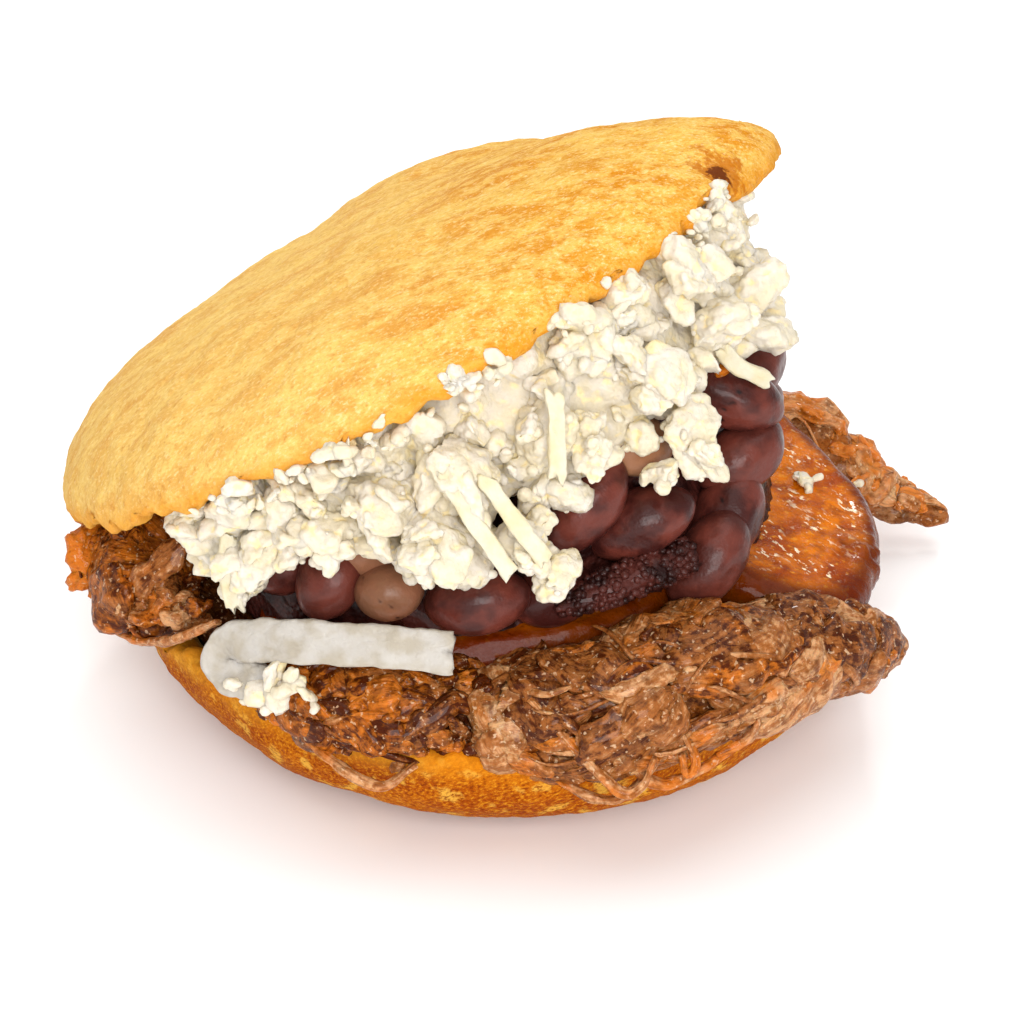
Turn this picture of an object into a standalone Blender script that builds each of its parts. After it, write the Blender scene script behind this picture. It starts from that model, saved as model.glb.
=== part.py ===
"""A fried arepa: a round corn bread, split open on a hinge at its back left and filled with shredded beef,
fried plantain, black beans and crumbled white cheese.

X runs right, Y away from the open side and Z up. The origin is the middle of the flat spot under the bread.
Sizes below are in millimetres and degrees, and make_object turns them into metres.
"""

import math
import random
from functools import partial, reduce
from operator import matmul

import bmesh
import bpy
import numpy as np
from mathutils import Matrix, Vector, noise

MM = 0.001
GAP = 0.4  # left between any two sub-parts
SEED = 11

# Bread: the bottom half is a shallow dish, the top half a dome that leans back on the hinge
RIM_RADIUS = 48.0
FLAT_RADIUS = 23.0
WALL = 3.6
BELLY = 0.8  # how fast the dish widens above its flat base
LIP_RADIUS = {-180: 48, -140: 48, -105: 49, -75: 48, -40: 46.5, 0: 44.5, 45: 44.5, 90: 46.5, 115: 48}
LIP_HEIGHT = {-180: 17.2, -80: 17.2, -50: 15.5, -15: 12.5, 30: 11.5, 80: 13.5, 112: 17.2}
TOP_REACH = {-180: 0.995, -80: 1.0, -50: 0.93, -20: 0.95, 5: 1.03, 30: 1.0, 90: 1.0}
DOME_LIFT = {-180: 1, -150: 0.9, -90: 0, 0: -0.3, 14: -1.7, 30: -2.1, 54: -1.8, 68: 0.6, 82: 2.2, 98: 1.8,
             120: 0, 150: 0.5}
DOME_LIFT_PEAK = 6.75  # makes a lift of 1 at two thirds of the way to the lip
LIP_DROOP = {-180: 0, -34: 0, -24: -1.2, -18: 0.6, -10: 2.4, 0: 1.2, 20: 0}
TOP_CENTRE = np.array([-12.5, 4.0, 46.2])
TOP_LEAN = 31.8
TOP_LEANS_TO = 150.5
DOME_HEIGHT = 12.9
DOME_SQUARE, DOME_ROUND = 2.4, 0.6
SKIN_LUMP, SKIN_RELIEF = 15.0, 0.8
HINGE_FROM, HINGE_TO = 112, 168
HINGE_BULGE = 2.5
PINCH_SPAN, PINCH = 18.0, 0.35  # the lips close on each other near the hinge
LIP_ROUND = 1.1
COLUMN_STEP = 8
BOTTOM_SHARES = (0.0, 0.3, 0.55, 0.8, 1.0)
TOP_SHARES = (1.0, 0.88, 0.72, 0.52, 0.28)
HINGE_SHARES = (0.33, 0.67)

# Layers of the filling: how far out each reaches by azimuth, and where one gives way to the next,
# as a share of the height between the halves
LAYER_STEP = 18
LAYER_RINGS = ((0.5, 1.0), (0.94, 0.96), (1.0, 0.7), (1.0, -0.6), (0.92, -0.95), (0.5, -1.0))
LAYER_INSET = 0.9
LAYER_LUMP, LAYER_RELIEF = 9.0, 1.5
HINGE_REACH = 33.0
BEEF_REACH = {-180: 42, -90: 42, -40: 41, 0: 38, 100: 38, 130: HINGE_REACH, 155: HINGE_REACH}
BEEF_TOP = {-180: 0.5, -150: 0.6, -130: 0.3, -110: 0.2, -90: 0.18, -50: 0.22, -15: 0.1, 30: 0.16,
            80: 0.22, 140: 0.3}
BEAN_REACH = {-180: 36, -140: 37, -90: 39, -50: 39.5, -15: 38, 30: 35, 80: 36, 130: HINGE_REACH,
              155: HINGE_REACH}
CHEESE_FLOOR = {-180: 0.75, -162: 0.75, -144: 0.6, -126: 0.62, -108: 0.68, -90: 0.53, -82: 0.55, -72: 0.63,
                -50: 0.66, -32: 0.69, -10: 0.68, 40: 0.55, 140: 0.6}
CHEESE_REACH = {-180: 30, -162: 31, -144: 37, -126: 43, -15: 43, 30: 39, 80: 38, 130: HINGE_REACH,
                155: HINGE_REACH}

# Plantain slices: the middle of the upper face, then the oval's size and how it lies
SLICE_THICK = 7.0
SLICE_COLUMNS = 20
SLICE_RINGS = ((0.55, -0.3), (0.88, 0.0), (1.0, -1.8), (1.0, 2.2 - SLICE_THICK), (0.88, -SLICE_THICK),
               (0.5, -SLICE_THICK))
FRONT_SLICE = dict(middle=(-5.0, -22.0, 27.6), half_length=27.0,
                   half_width=18.0, turn=2.0, pitch=-4.0, roll=0.0)
RIGHT_SLICE = dict(middle=(30.3, -2.5, 25.6), half_length=25.5,
                   half_width=15.0, turn=-81.0, pitch=0.0, roll=-13.0)

# Beef: fat bundles of fibres, each a path with a radius at every point
FRONT_BUNDLE = (
    ((-4.5, -41.0, 19.0), 4.0), ((0.0, -41.0, 19.2), 7.2), ((10.0, -41.0, 20.6), 8.9),
    ((22.0, -38.0, 22.0), 8.3), ((34.0, -29.0, 19.3), 6.3), ((41.0, -23.0, 16.8), 4.8),
    ((47.5, -19.0, 13.5), 1.6),
)
LEFT_BUNDLE = (
    ((-30.0, -32.0, 21.0), 4.0), ((-21.0, -38.5, 20.5), 6.2), ((-13.0, -41.5, 20.0), 6.5),
    ((-2.0, -41.5, 20.0), 5.5),
)
CORNER_BUNDLE = (
    ((-40.0, -4.0, 24.0), 4.0), ((-44.0, -13.0, 24.5), 5.6), ((-43.5, -20.0, 22.5), 6.0),
    ((-40.0, -27.0, 22.0), 4.5),
)
TAIL_BUNDLE = (
    ((16.0, 17.0, 14.0), 5.0), ((35.0, 25.0, 17.0), 4.4), ((43.5, 25.0, 12.0), 3.6),
    ((48.7, 24.5, 7.0), 3.1), ((53.2, 24.0, 5.6), 2.6), ((58.0, 23.4, 3.4), 1.5),
)
BUNDLE_STRANDS = ((FRONT_BUNDLE, 9), (LEFT_BUNDLE, 4), (CORNER_BUNDLE, 5), (TAIL_BUNDLE, 3))
BUNDLE_FLAT = 0.85
BUNDLE_SIDES, BUNDLE_STEPS = 9, 8
BUNDLE_RIDGE = 0.05
STRAND_RADIUS, STRAND_SIDES, STRAND_STEPS = 1.2, 4, 5
STRAND_TIP = 0.45
STRAND_FAN = (-55, 95)  # from under a bundle's outer side to over its top
LOOSE_STRANDS = (
    ((-47.5, -23, 18), (-44.2, -27, 19.5), (-39.5, -31.5, 22.8), (-34, -36, 28.5)),
    ((-44, -10, 28), (-49, -13, 27), (-51.5, -15, 24), (-50, -18, 20)),
    ((4, -48, 15.5), (9, -49.5, 13.5), (13, -50, 14), (17, -48, 18)),
    ((12, -48, 22), (14, -49.5, 17.5), (18, -49, 15), (25, -45.5, 17)),
    ((-24, -44, 18), (-20, -47.5, 16.5), (-15, -49.5, 15), (-11, -48, 17)),
)

# Beans: the middle, the direction of the long axis, and the length against a whole bean's
BEAN_HALF = (6.9, 4.3, 3.9)
BEAN_PLUMP = 0.6  # a short bean keeps this much of its width and thickness
BEANS = (
    ((25.5, -15.5, 47.0), (1.0, -0.2, -0.45), 1.0), ((28.5, -7.5, 46.5), (0.3, 0.9, 0.1), 0.9),
    ((28.8, -5.5, 39.5), (0.2, 0.9, -0.3), 0.85), ((27.0, -18.0, 39.8), (0.7, 0.5, 0.3), 0.9),
    ((25.2, -22.8, 34.6), (0.3, 0.6, 0.6), 0.95), ((23.0, -28.0, 31.8), (0.5, 0.4, 0.7), 0.95),
    ((14.5, -30.0, 38.2), (1.0, 0.0, 0.5), 1.0), ((8.0, -31.5, 41.5), (0.6, 0.3, 0.6), 1.0),
    ((14.0, -25.5, 46.0), (1.0, 0.1, -0.1), 0.7), ((-4.0, -38.0, 32.8), (1.0, 0.0, 0.15), 0.9),
    ((-14.0, -37.5, 33.8), (1.0, 0.1, 0.1), 0.6), ((-21.0, -35.8, 34.5), (0.3, 0.5, 0.8), 0.75),
    ((-16.5, -33.5, 37.4), (1.0, 0.3, 0.1), 0.7), ((-26.5, -30.5, 32.8), (0.8, -0.4, 0.5), 0.7),
    ((4.5, -34.0, 31.0), (1.0, 0.2, 0.1), 0.8), ((28.0, 6.0, 36.0), (0.2, 1.0, 0.1), 0.95),
    ((25.0, 15.0, 32.0), (0.6, 0.7, 0.2), 0.95), ((21.0, 24.0, 31.0), (1.0, -0.5, 0.1), 0.95),
    ((10.0, 31.5, 29.0), (1.0, -0.2, 0.2), 1.0), ((-1.0, 34.0, 26.5), (1.0, 0.1, 0.3), 0.9),
)

# Cheese: clumps with a radius each, gratings as paths, and crumbs scattered over the layer's edge
CLUMPS = (
    ((20.5, -29.0, 49.5), 4.6), ((16.8, -31.5, 45.8), 2.2), ((8.5, -36.5, 52.5), 3.3),
    ((5.7, -41.0, 38.4), 3.3), ((1.5, -41.5, 43.2), 3.8), ((-9.6, -43.5, 42.0), 3.5),
    ((-9.0, -43.0, 44.5), 4.6), ((-29.5, -37.0, 38.5), 4.0), ((-31.0, -35.5, 32.5), 2.6),
    ((-25.5, -38.5, 42.5), 4.0), ((-20.0, -40.0, 43.5), 3.8), ((27.3, -9.0, 55.0), 6.0),
    ((23.5, -3.0, 61.0), 5.5), ((22.0, -14.0, 61.0), 5.0), ((23.5, -8.5, 66.0), 4.0),
    ((23.0, -18.5, 57.0), 5.0), ((14.5, -28.0, 57.5), 5.5), ((4.0, -35.5, 54.5), 5.0),
    ((-6.0, -40.0, 51.0), 5.0), ((-15.0, -41.0, 47.5), 4.6), ((26.0, 2.0, 52.0), 5.0),
    ((19.0, -19.5, 66.0), 5.0),
)
CLUMP_ROUGH = 0.5
FINE_CLUMP = 4.8  # clumps over this radius have more faces
GRATINGS = (
    ((-8, -42.5, 54), (-4, -45.5, 48), (0.5, -47.0, 41.5)),
    ((-3.5, -42.5, 53), (0.5, -45, 48), (4, -45.5, 43)),
    ((4.5, -37.5, 61), (5, -40, 56), (5, -41.5, 50.5)),
    ((24, -19, 55.5), (26, -18.4, 52.6), (28.2, -18, 50.9), (30.4, -16.9, 49.2)),
    ((-32, -36, 41), (-32.5, -37.5, 37), (-31.5, -38, 31)),
)
GRATING_HALF = (1.7, 0.9)
STRIP_PATH = (
    (-6.4, -46.2, 31.2), (-15.0, -45.4, 31.6), (-24.0, -42.8, 30.4), (-29.0, -40.2, 28.8),
    (-32.6, -38.0, 26.6), (-33.4, -38.0, 24.2), (-30.6, -41.0, 23.7), (-26.4, -43.2, 23.9),
)
STRIP_HALF = (2.45, 0.75)
CRUMB_COUNT = 35
CRUMB_RADIUS = (2.4, 3.6)
CRUMB_AZIMUTHS = (-132, 105)


def around(knots, azimuth):
    """The value at an azimuth, eased between {azimuth: value} knots all the way round."""
    spots = sorted(knots)
    azimuth = (azimuth - spots[0]) % 360 + spots[0]
    for here, there in zip(spots, spots[1:] + [spots[0] + 360]):
        if azimuth <= there:
            share = (azimuth - here) / (there - here)
            share = share * share * (3 - 2 * share)
            start, end = knots[here], knots.get(there, knots[spots[0]])
            return start + share * (end - start)


def unit(azimuth):
    """The level unit vector that points to an azimuth."""
    return np.array([math.cos(math.radians(azimuth)), math.sin(math.radians(azimuth)), 0.0])


def lumps(point, size, height):
    """Soft noise at a point, for uneven surfaces: size is how wide a lump is."""
    return height * noise.noise(Vector(point) / size)


def top_axes():
    """The top half's right, back and up directions once it leans on the hinge."""
    axis = Vector(unit(TOP_LEANS_TO + 90))
    lean = Matrix.Rotation(math.radians(TOP_LEAN), 3, axis)
    return [np.array(lean @ Vector(side)) for side in ((1, 0, 0), (0, 1, 0), (0, 0, 1))]


TOP_RIGHT, TOP_BACK, TOP_UP = top_axes()


def bottom_face(azimuth, share, inner=False, grow=0.0):
    """A point on the bottom half, from the edge of its flat base (share 0) to the lip (share 1)."""
    turn = share * math.pi / 2
    base = FLAT_RADIUS - 2 - grow if inner else FLAT_RADIUS + grow
    rim = around(LIP_RADIUS, azimuth) + (-WALL - grow if inner else grow)
    floor = WALL + grow if inner else -grow
    height = floor + (around(LIP_HEIGHT, azimuth) - floor) * (1 - math.cos(turn))
    reach = base + (rim - base) * math.sin(turn) ** BELLY
    point = unit(azimuth) * reach + np.array([0, 0, height])
    if share and not inner:
        point = point + unit(azimuth) * lumps(point, SKIN_LUMP, SKIN_RELIEF)
    return point


def top_face(azimuth, share, inner=False, grow=0.0):
    """A point on the top half, from the middle of its dome (share 0) to the lip (share 1)."""
    spread = math.sin(share * math.pi / 2)
    edge = -WALL - grow if inner else grow
    rim = RIM_RADIUS * around(TOP_REACH, azimuth) + edge
    height = (DOME_HEIGHT + edge) * (1 - spread**DOME_SQUARE) ** DOME_ROUND
    level = unit(azimuth) * rim * spread
    height += around(DOME_LIFT, azimuth) * DOME_LIFT_PEAK * share**2 * (1 - share)
    height -= around(LIP_DROOP, azimuth) * share**8
    point = TOP_CENTRE + level[0] * TOP_RIGHT + level[1] * TOP_BACK + height * TOP_UP
    return point if inner else point + TOP_UP * lumps(point, SKIN_LUMP, SKIN_RELIEF)


def pinch_at(azimuth):
    """How far the lips have closed on each other: all the way at the hinge, not at all in the open mouth."""
    middle = (HINGE_FROM + HINGE_TO) / 2
    away = abs((azimuth - middle + 180) % 360 - 180) - (HINGE_TO - HINGE_FROM) / 2
    return PINCH * min(max(1 - away / PINCH_SPAN, 0), 1)


def bread_column(azimuth, inner, grow):
    """One column of the bread's skin: up the bottom half, over the hinge and up the top half."""
    low, high = bottom_face(azimuth, 1, inner, grow), top_face(azimuth, 1, inner, grow)
    pull = pinch_at(azimuth) * (high - low)
    column = [bottom_face(azimuth, share, inner, grow) + share**3 * pull for share in BOTTOM_SHARES]
    low, high = low + pull, high - pull
    for share in HINGE_SHARES:
        bulge = HINGE_BULGE * math.sin(math.pi * share) * unit(azimuth)
        column.append(low + share * (high - low) + bulge)
    column += [top_face(azimuth, share, inner, grow) - share**3 * pull for share in TOP_SHARES]
    return column


def bread_shape(grow=0.0):
    """The whole bread as one skin: an outer and an inner face, joined round the mouth by rounded lips."""
    azimuths = list(range(0, 360, COLUMN_STEP))
    count, rows = len(azimuths), len(BOTTOM_SHARES) + len(HINGE_SHARES) + len(TOP_SHARES)
    low_lip = len(BOTTOM_SHARES) - 1
    high_lip = low_lip + len(HINGE_SHARES) + 1
    hinge = [HINGE_FROM <= azimuth < HINGE_TO for azimuth in azimuths]
    points, faces = [], []
    for inner in (False, True):
        for azimuth in azimuths:
            points += bread_column(azimuth, inner, grow)
        points += [np.array([0, 0, WALL + grow if inner else -grow]), top_face(0, 0, inner, grow)]
    side = count * rows + 2

    def spot(column, row, inner=False):
        return column % count * rows + row + (side if inner else 0)

    def add(*corners, inner=False):
        faces.append(corners[::-1] if inner else corners)

    for inner in (False, True):
        base, crown = side - 2 + side * inner, side - 1 + side * inner
        for column in range(count):
            add(base, spot(column + 1, 0, inner), spot(column, 0, inner), inner=inner)
            add(crown, spot(column, rows - 1, inner), spot(column + 1, rows - 1, inner), inner=inner)
            for row in range(rows - 1):
                if low_lip <= row < high_lip and not hinge[column]:
                    continue
                corners = (spot(column, row, inner), spot(column + 1, row, inner),
                           spot(column + 1, row + 1, inner), spot(column, row + 1, inner))
                add(*corners, inner=inner)
    start, end = HINGE_TO // COLUMN_STEP, HINGE_FROM // COLUMN_STEP + count
    loop = [(column, low_lip, np.array([0, 0, 1.0])) for column in range(start, end)]
    loop += [(end, row, unit(HINGE_FROM - 90)) for row in range(low_lip, high_lip)]
    loop += [(column, high_lip, -TOP_UP) for column in range(end, start, -1)]
    loop += [(start, row, unit(HINGE_TO + 90)) for row in range(high_lip, low_lip, -1)]
    lip = len(points)
    for column, row, out in loop:
        outer, inner = points[spot(column, row)], points[spot(column, row, True)]
        points.append((outer + inner) / 2 + (LIP_ROUND + grow) * out)
    for here, (column, row, _) in enumerate(loop):
        there = (here + 1) % len(loop)
        next_column, next_row, _ = loop[there]
        add(spot(column, row), spot(next_column, next_row), lip + there, lip + here)
        add(lip + here, lip + there, spot(next_column, next_row, True), spot(column, row, True))
    return points, faces


def floor_point(azimuth, reach):
    """A point on the inner face of the bottom half, level with its lip beyond it."""
    base, rim = FLAT_RADIUS - 2, around(LIP_RADIUS, azimuth) - WALL
    share = min(max((reach - base) / (rim - base), 0), 1)
    rise = 1 - math.cos(math.asin(share ** (1 / BELLY)))
    return unit(azimuth) * reach + np.array([0, 0, WALL + (around(LIP_HEIGHT, azimuth) - WALL) * rise])


def roof_point(azimuth, reach):
    """A point on the inner face of the top half."""
    spread = min(reach / (RIM_RADIUS * around(TOP_REACH, azimuth) - WALL), 1)
    level = unit(azimuth) * reach
    height = (DOME_HEIGHT - WALL) * (1 - spread**DOME_SQUARE) ** DOME_ROUND
    return TOP_CENTRE + level[0] * TOP_RIGHT + level[1] * TOP_BACK + height * TOP_UP


def between(azimuth, reach, rise, lift=0.0):
    """A point between the halves: rise 0 is the floor and 1 the roof, and lift adds millimetres to it."""
    floor, roof = floor_point(azimuth, reach), roof_point(azimuth, reach)
    return floor + (rise + lift / np.linalg.norm(roof - floor)) * (roof - floor)


def layer_shape(reach_knots, floor_knots, roof_knots, grow=0.0):
    """A layer of the filling as a lumpy disc between two shares of the height."""
    points, faces = [], []
    azimuths = range(0, 360, LAYER_STEP)
    for share, side in LAYER_RINGS:
        for azimuth in azimuths:
            floor, roof = around(floor_knots, azimuth), around(roof_knots, azimuth)
            middle, half = (floor + roof) / 2, (roof - floor) / 2
            reach = (around(reach_knots, azimuth) + grow) * share
            spot = between(azimuth, reach, middle + half * side, (grow - LAYER_INSET) * side)
            spot = spot + unit(azimuth) * share * lumps(spot, LAYER_LUMP, LAYER_RELIEF)
            points.append(spot)
    count = len(azimuths)
    for row in range(len(LAYER_RINGS) - 1):
        for column in range(count):
            after = (column + 1) % count
            faces.append((row * count + column, (row + 1) * count + column,
                          (row + 1) * count + after, row * count + after))
    top, bottom = len(points), len(points) + 1
    last = (len(LAYER_RINGS) - 1) * count
    points += [np.mean(points[:count], axis=0), np.mean(points[last:last + count], axis=0)]
    for column in range(count):
        after = (column + 1) % count
        faces.append((top, column, after))
        faces.append((bottom, last + after, last + column))
    return points, faces


def smooth_path(spots, steps):
    """Points at even steps along a smooth curve through the spots."""
    spots = [np.array(spot, float) for spot in spots]
    ends = [2 * spots[0] - spots[1]] + spots + [2 * spots[-1] - spots[-2]]
    for step in range(steps + 1):
        place = min(step / steps * (len(spots) - 1), len(spots) - 1 - 1e-9)
        index, t = int(place), place % 1
        a, b, c, d = ends[index:index + 4]
        bend = (2 * a - 5 * b + 4 * c - d) * t**2 + (3 * b - a - 3 * c + d) * t**3
        yield 0.5 * (2 * b + (c - a) * t + bend)


def rope_shape(path, radii, sides, facing=(0.0, -0.5, 1.0), ridges=0.0, grow=0.0):
    """A closed rope along a path: radii gives (width, thickness) at each point, thickness along facing."""
    points, faces = [], []
    for index, spot in enumerate(path):
        ahead = path[min(index + 1, len(path) - 1)] - path[max(index - 1, 0)]
        ahead = ahead / np.linalg.norm(ahead)
        across = np.cross(ahead, facing)
        across = across / np.linalg.norm(across)
        through = np.cross(across, ahead)
        for side in range(sides):
            angle = 2 * math.pi * side / sides
            ridge = 1 + ridges * (-1) ** side
            width, thick = (radius + grow for radius in radii[index])
            out = across * width * math.cos(angle) + through * thick * math.sin(angle)
            points.append(spot + ridge * out)
    for row in range(len(path) - 1):
        for side in range(sides):
            after = (side + 1) % sides
            faces.append((row * sides + side, row * sides + after,
                          (row + 1) * sides + after, (row + 1) * sides + side))
    last = (len(path) - 1) * sides
    faces.append(tuple(range(sides))[::-1])
    faces.append(tuple(range(last, last + sides)))
    return points, faces


def ball_shape(middle, half, along=(1, 0, 0), detail=2, rough=0.0, grow=0.0):
    """An egg-shaped ball with its long half axis along a direction, roughened by noise for a crumb."""
    ball = bmesh.new()
    bmesh.ops.create_icosphere(ball, subdivisions=detail, radius=1.0)
    turn = Vector(along).to_track_quat("X", "Z").to_matrix()
    points = []
    for vertex in ball.verts:
        bump = 1 + rough * noise.noise(vertex.co * 1.7 + Vector(middle))
        scaled = Vector([(size + grow) * bump * part for size, part in zip(half, vertex.co)])
        points.append(np.array(turn @ scaled) + np.array(middle))
    faces = [tuple(vertex.index for vertex in face.verts) for face in ball.faces]
    ball.free()
    return points, faces


def slice_shape(middle, half_length, half_width, turn, pitch, roll, grow=0.0):
    """A slice of plantain: an uneven oval slab with soft edges, its upper face a little hollow."""
    turns = ((turn, "Z"), (pitch, "Y"), (roll, "X"))
    pose = reduce(matmul, (Matrix.Rotation(math.radians(angle), 3, axis) for angle, axis in turns))
    points, faces = [], []
    for ring, (share, height) in enumerate(SLICE_RINGS):
        lift = grow if ring < len(SLICE_RINGS) / 2 else -grow
        for column in range(SLICE_COLUMNS):
            angle = 2 * math.pi * column / SLICE_COLUMNS
            wave = 1 + 0.04 * math.sin(3 * angle + middle[0]) + 0.03 * math.sin(5 * angle)
            length, width = half_length * wave + grow, half_width * wave + grow
            flat = Vector((length * share * math.cos(angle), width * share * math.sin(angle), height + lift))
            points.append(np.array(pose @ flat) + np.array(middle))
    count = SLICE_COLUMNS
    for row in range(len(SLICE_RINGS) - 1):
        for column in range(count):
            after = (column + 1) % count
            faces.append((row * count + column, (row + 1) * count + column,
                          (row + 1) * count + after, row * count + after))
    faces.append(tuple(range(count)))
    faces.append(tuple(range((len(SLICE_RINGS) - 1) * count, len(SLICE_RINGS) * count))[::-1])
    return points, faces


def bundle_path(bundle):
    """A bundle's path and radii at even steps along it."""
    path = list(smooth_path([spot for spot, _ in bundle], BUNDLE_STEPS))
    radii = [radius[0] for radius in smooth_path([(radius,) for _, radius in bundle], BUNDLE_STEPS)]
    return path, radii


def bundle_shape(bundle, grow=0.0):
    path, radii = bundle_path(bundle)
    sizes = [(radius, radius * BUNDLE_FLAT) for radius in radii]
    return rope_shape(path, sizes, BUNDLE_SIDES, ridges=BUNDLE_RIDGE, grow=grow)


def strand_shape(spots, radius=STRAND_RADIUS, grow=0.0):
    path = list(smooth_path(spots, STRAND_STEPS))
    ends = (0, len(path) - 1)
    sizes = [(radius * (STRAND_TIP if index in ends else 1),) * 2 for index in range(len(path))]
    return rope_shape(path, sizes, STRAND_SIDES, grow=grow)


def bundle_strands(bundle, count, rng):
    """Strands that lie half sunk along a bundle, each at its own place round it and with its own wander."""
    path, radii = bundle_path(bundle)
    middle = np.mean(path, axis=0)
    outward = middle * (1, 1, 0) / np.linalg.norm(middle[:2])
    found = []
    for index in range(count):
        start = rng.uniform(0.0, 0.45)
        end = start + rng.uniform(0.35, 0.6)
        low, high = STRAND_FAN
        tilt = math.radians(low + (high - low) * (index + 0.5) / count)
        spots = []
        for share in np.linspace(start, min(end, 1.0), 4):
            place = int(round(share * BUNDLE_STEPS))
            lean = tilt + rng.uniform(-0.2, 0.2)
            out = outward * math.cos(lean) + np.array([0, 0, 1]) * math.sin(lean)
            spots.append(path[place] + out * (radii[place] * BUNDLE_FLAT * 0.97))
        found.append(partial(strand_shape, spots))
    return found


def beef_pieces():
    rng = random.Random(SEED)
    pieces = [partial(layer_shape, BEEF_REACH, {0: 0.0}, BEEF_TOP)]
    for bundle, count in BUNDLE_STRANDS:
        pieces.append(partial(bundle_shape, bundle))
        pieces += bundle_strands(bundle, count, rng)
    return pieces + [partial(strand_shape, spots) for spots in LOOSE_STRANDS]


def bean_pieces():
    pieces = [partial(layer_shape, BEAN_REACH, BEEF_TOP, CHEESE_FLOOR)]
    for middle, along, size in BEANS:
        plump = BEAN_PLUMP + (1 - BEAN_PLUMP) * size
        half = (BEAN_HALF[0] * size, BEAN_HALF[1] * plump, BEAN_HALF[2] * plump)
        pieces.append(partial(ball_shape, middle, half, along))
    return pieces


def crumb(middle, radius, detail):
    half = (radius, radius * 0.85, radius * 0.9)
    return partial(ball_shape, middle, half, detail=detail, rough=CLUMP_ROUGH)


def cheese_pieces():
    rng = random.Random(SEED)
    pieces = [partial(layer_shape, CHEESE_REACH, CHEESE_FLOOR, {0: 1.0})]
    for middle, radius in CLUMPS:
        pieces.append(crumb(middle, radius, 2 if radius > FINE_CLUMP else 1))
    for spots in GRATINGS:
        path = list(smooth_path(spots, 3))
        pieces.append(partial(rope_shape, path, [GRATING_HALF] * len(path), 4, (0.2, -1.0, 0.3)))
    for index in range(CRUMB_COUNT):
        first, last = CRUMB_AZIMUTHS
        azimuth = first + (last - first) * (index + rng.random()) / CRUMB_COUNT
        rise = around(CHEESE_FLOOR, azimuth)
        rise += (0.95 - rise) * rng.random()
        spot = between(azimuth, around(CHEESE_REACH, azimuth) + 0.5, rise)
        pieces.append(crumb(tuple(spot), rng.uniform(*CRUMB_RADIUS), 1))
    return pieces


def strip_pieces():
    path = list(smooth_path(STRIP_PATH, 10))
    return [partial(rope_shape, path, [STRIP_HALF] * len(path), 6, (0.1, -0.85, 0.5))]


SUB_PARTS = (
    ("arepa_bread", lambda: [bread_shape], (0.93, 0.52, 0.12), 0.5),
    ("plantain_slice_front", lambda: [partial(slice_shape, **FRONT_SLICE)], (0.42, 0.12, 0.02), 0.25),
    ("plantain_slice_right", lambda: [partial(slice_shape, **RIGHT_SLICE)], (0.5, 0.15, 0.02), 0.25),
    ("shredded_beef", beef_pieces, (0.25, 0.11, 0.05), 0.55),
    ("black_beans", bean_pieces, (0.045, 0.015, 0.015), 0.3),
    ("cheese_strip", strip_pieces, (0.9, 0.86, 0.76), 0.5),
    ("grated_cheese", cheese_pieces, (0.9, 0.86, 0.74), 0.6),
)


def clear_scene():
    for item in list(bpy.data.objects):
        bpy.data.objects.remove(item, do_unlink=True)


def make_object(name, shape):
    """An object from a shape in millimetres, its faces split into triangles and pointing out."""
    points, faces = shape
    mesh = bpy.data.meshes.new(name)
    mesh.from_pydata([tuple(np.array(point) * MM) for point in points], [], faces)
    work = bmesh.new()
    work.from_mesh(mesh)
    bmesh.ops.delete(work, geom=[vertex for vertex in work.verts if not vertex.link_faces], context="VERTS")
    bmesh.ops.triangulate(work, faces=work.faces)
    bmesh.ops.recalc_face_normals(work, faces=work.faces)
    work.to_mesh(mesh)
    work.free()
    made = bpy.data.objects.new(name, mesh)
    bpy.context.scene.collection.objects.link(made)
    return made


def combine(target, shapes, operation):
    """Joins the shapes to the target, or cuts them out of it, with one Boolean on a collection."""
    group = bpy.data.collections.new(operation)
    bpy.context.scene.collection.children.link(group)
    for index, shape in enumerate(shapes):
        piece = make_object(f"piece_{index}", shape)
        bpy.context.scene.collection.objects.unlink(piece)
        group.objects.link(piece)
    modifier = target.modifiers.new(operation, "BOOLEAN")
    modifier.operation = operation
    modifier.operand_type = "COLLECTION"
    modifier.collection = group
    modifier.solver = "MANIFOLD"
    graph = bpy.context.evaluated_depsgraph_get()
    mesh = bpy.data.meshes.new_from_object(target.evaluated_get(graph))
    target.modifiers.clear()
    target.data = mesh
    for piece in list(group.objects):
        bpy.data.objects.remove(piece, do_unlink=True)
    bpy.data.collections.remove(group)


def keep_main_body(target):
    """Drops loose scraps and fills sealed hollows by keeping only the body with the most volume."""
    work = bmesh.new()
    work.from_mesh(target.data)
    bmesh.ops.triangulate(work, faces=work.faces)
    left, bodies = set(work.faces), []
    while left:
        body, edge = set(), [left.pop()]
        while edge:
            face = edge.pop()
            body.add(face)
            for side in face.edges:
                for other in side.link_faces:
                    if other in left:
                        left.remove(other)
                        edge.append(other)
        volume = sum(face.verts[0].co.dot(face.verts[1].co.cross(face.verts[2].co)) for face in body)
        bodies.append((volume, body))
    main = max(bodies, key=lambda item: item[0])[1]
    bmesh.ops.delete(work, geom=[face for face in work.faces if face not in main], context="FACES")
    work.to_mesh(target.data)
    work.free()


def make_material(name, colour, roughness):
    material = bpy.data.materials.new(name)
    material.use_nodes = True
    shader = material.node_tree.nodes["Principled BSDF"]
    shader.inputs["Base Color"].default_value = (*colour, 1.0)
    shader.inputs["Roughness"].default_value = roughness
    shader.inputs["Metallic"].default_value = 0.0
    return material


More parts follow.
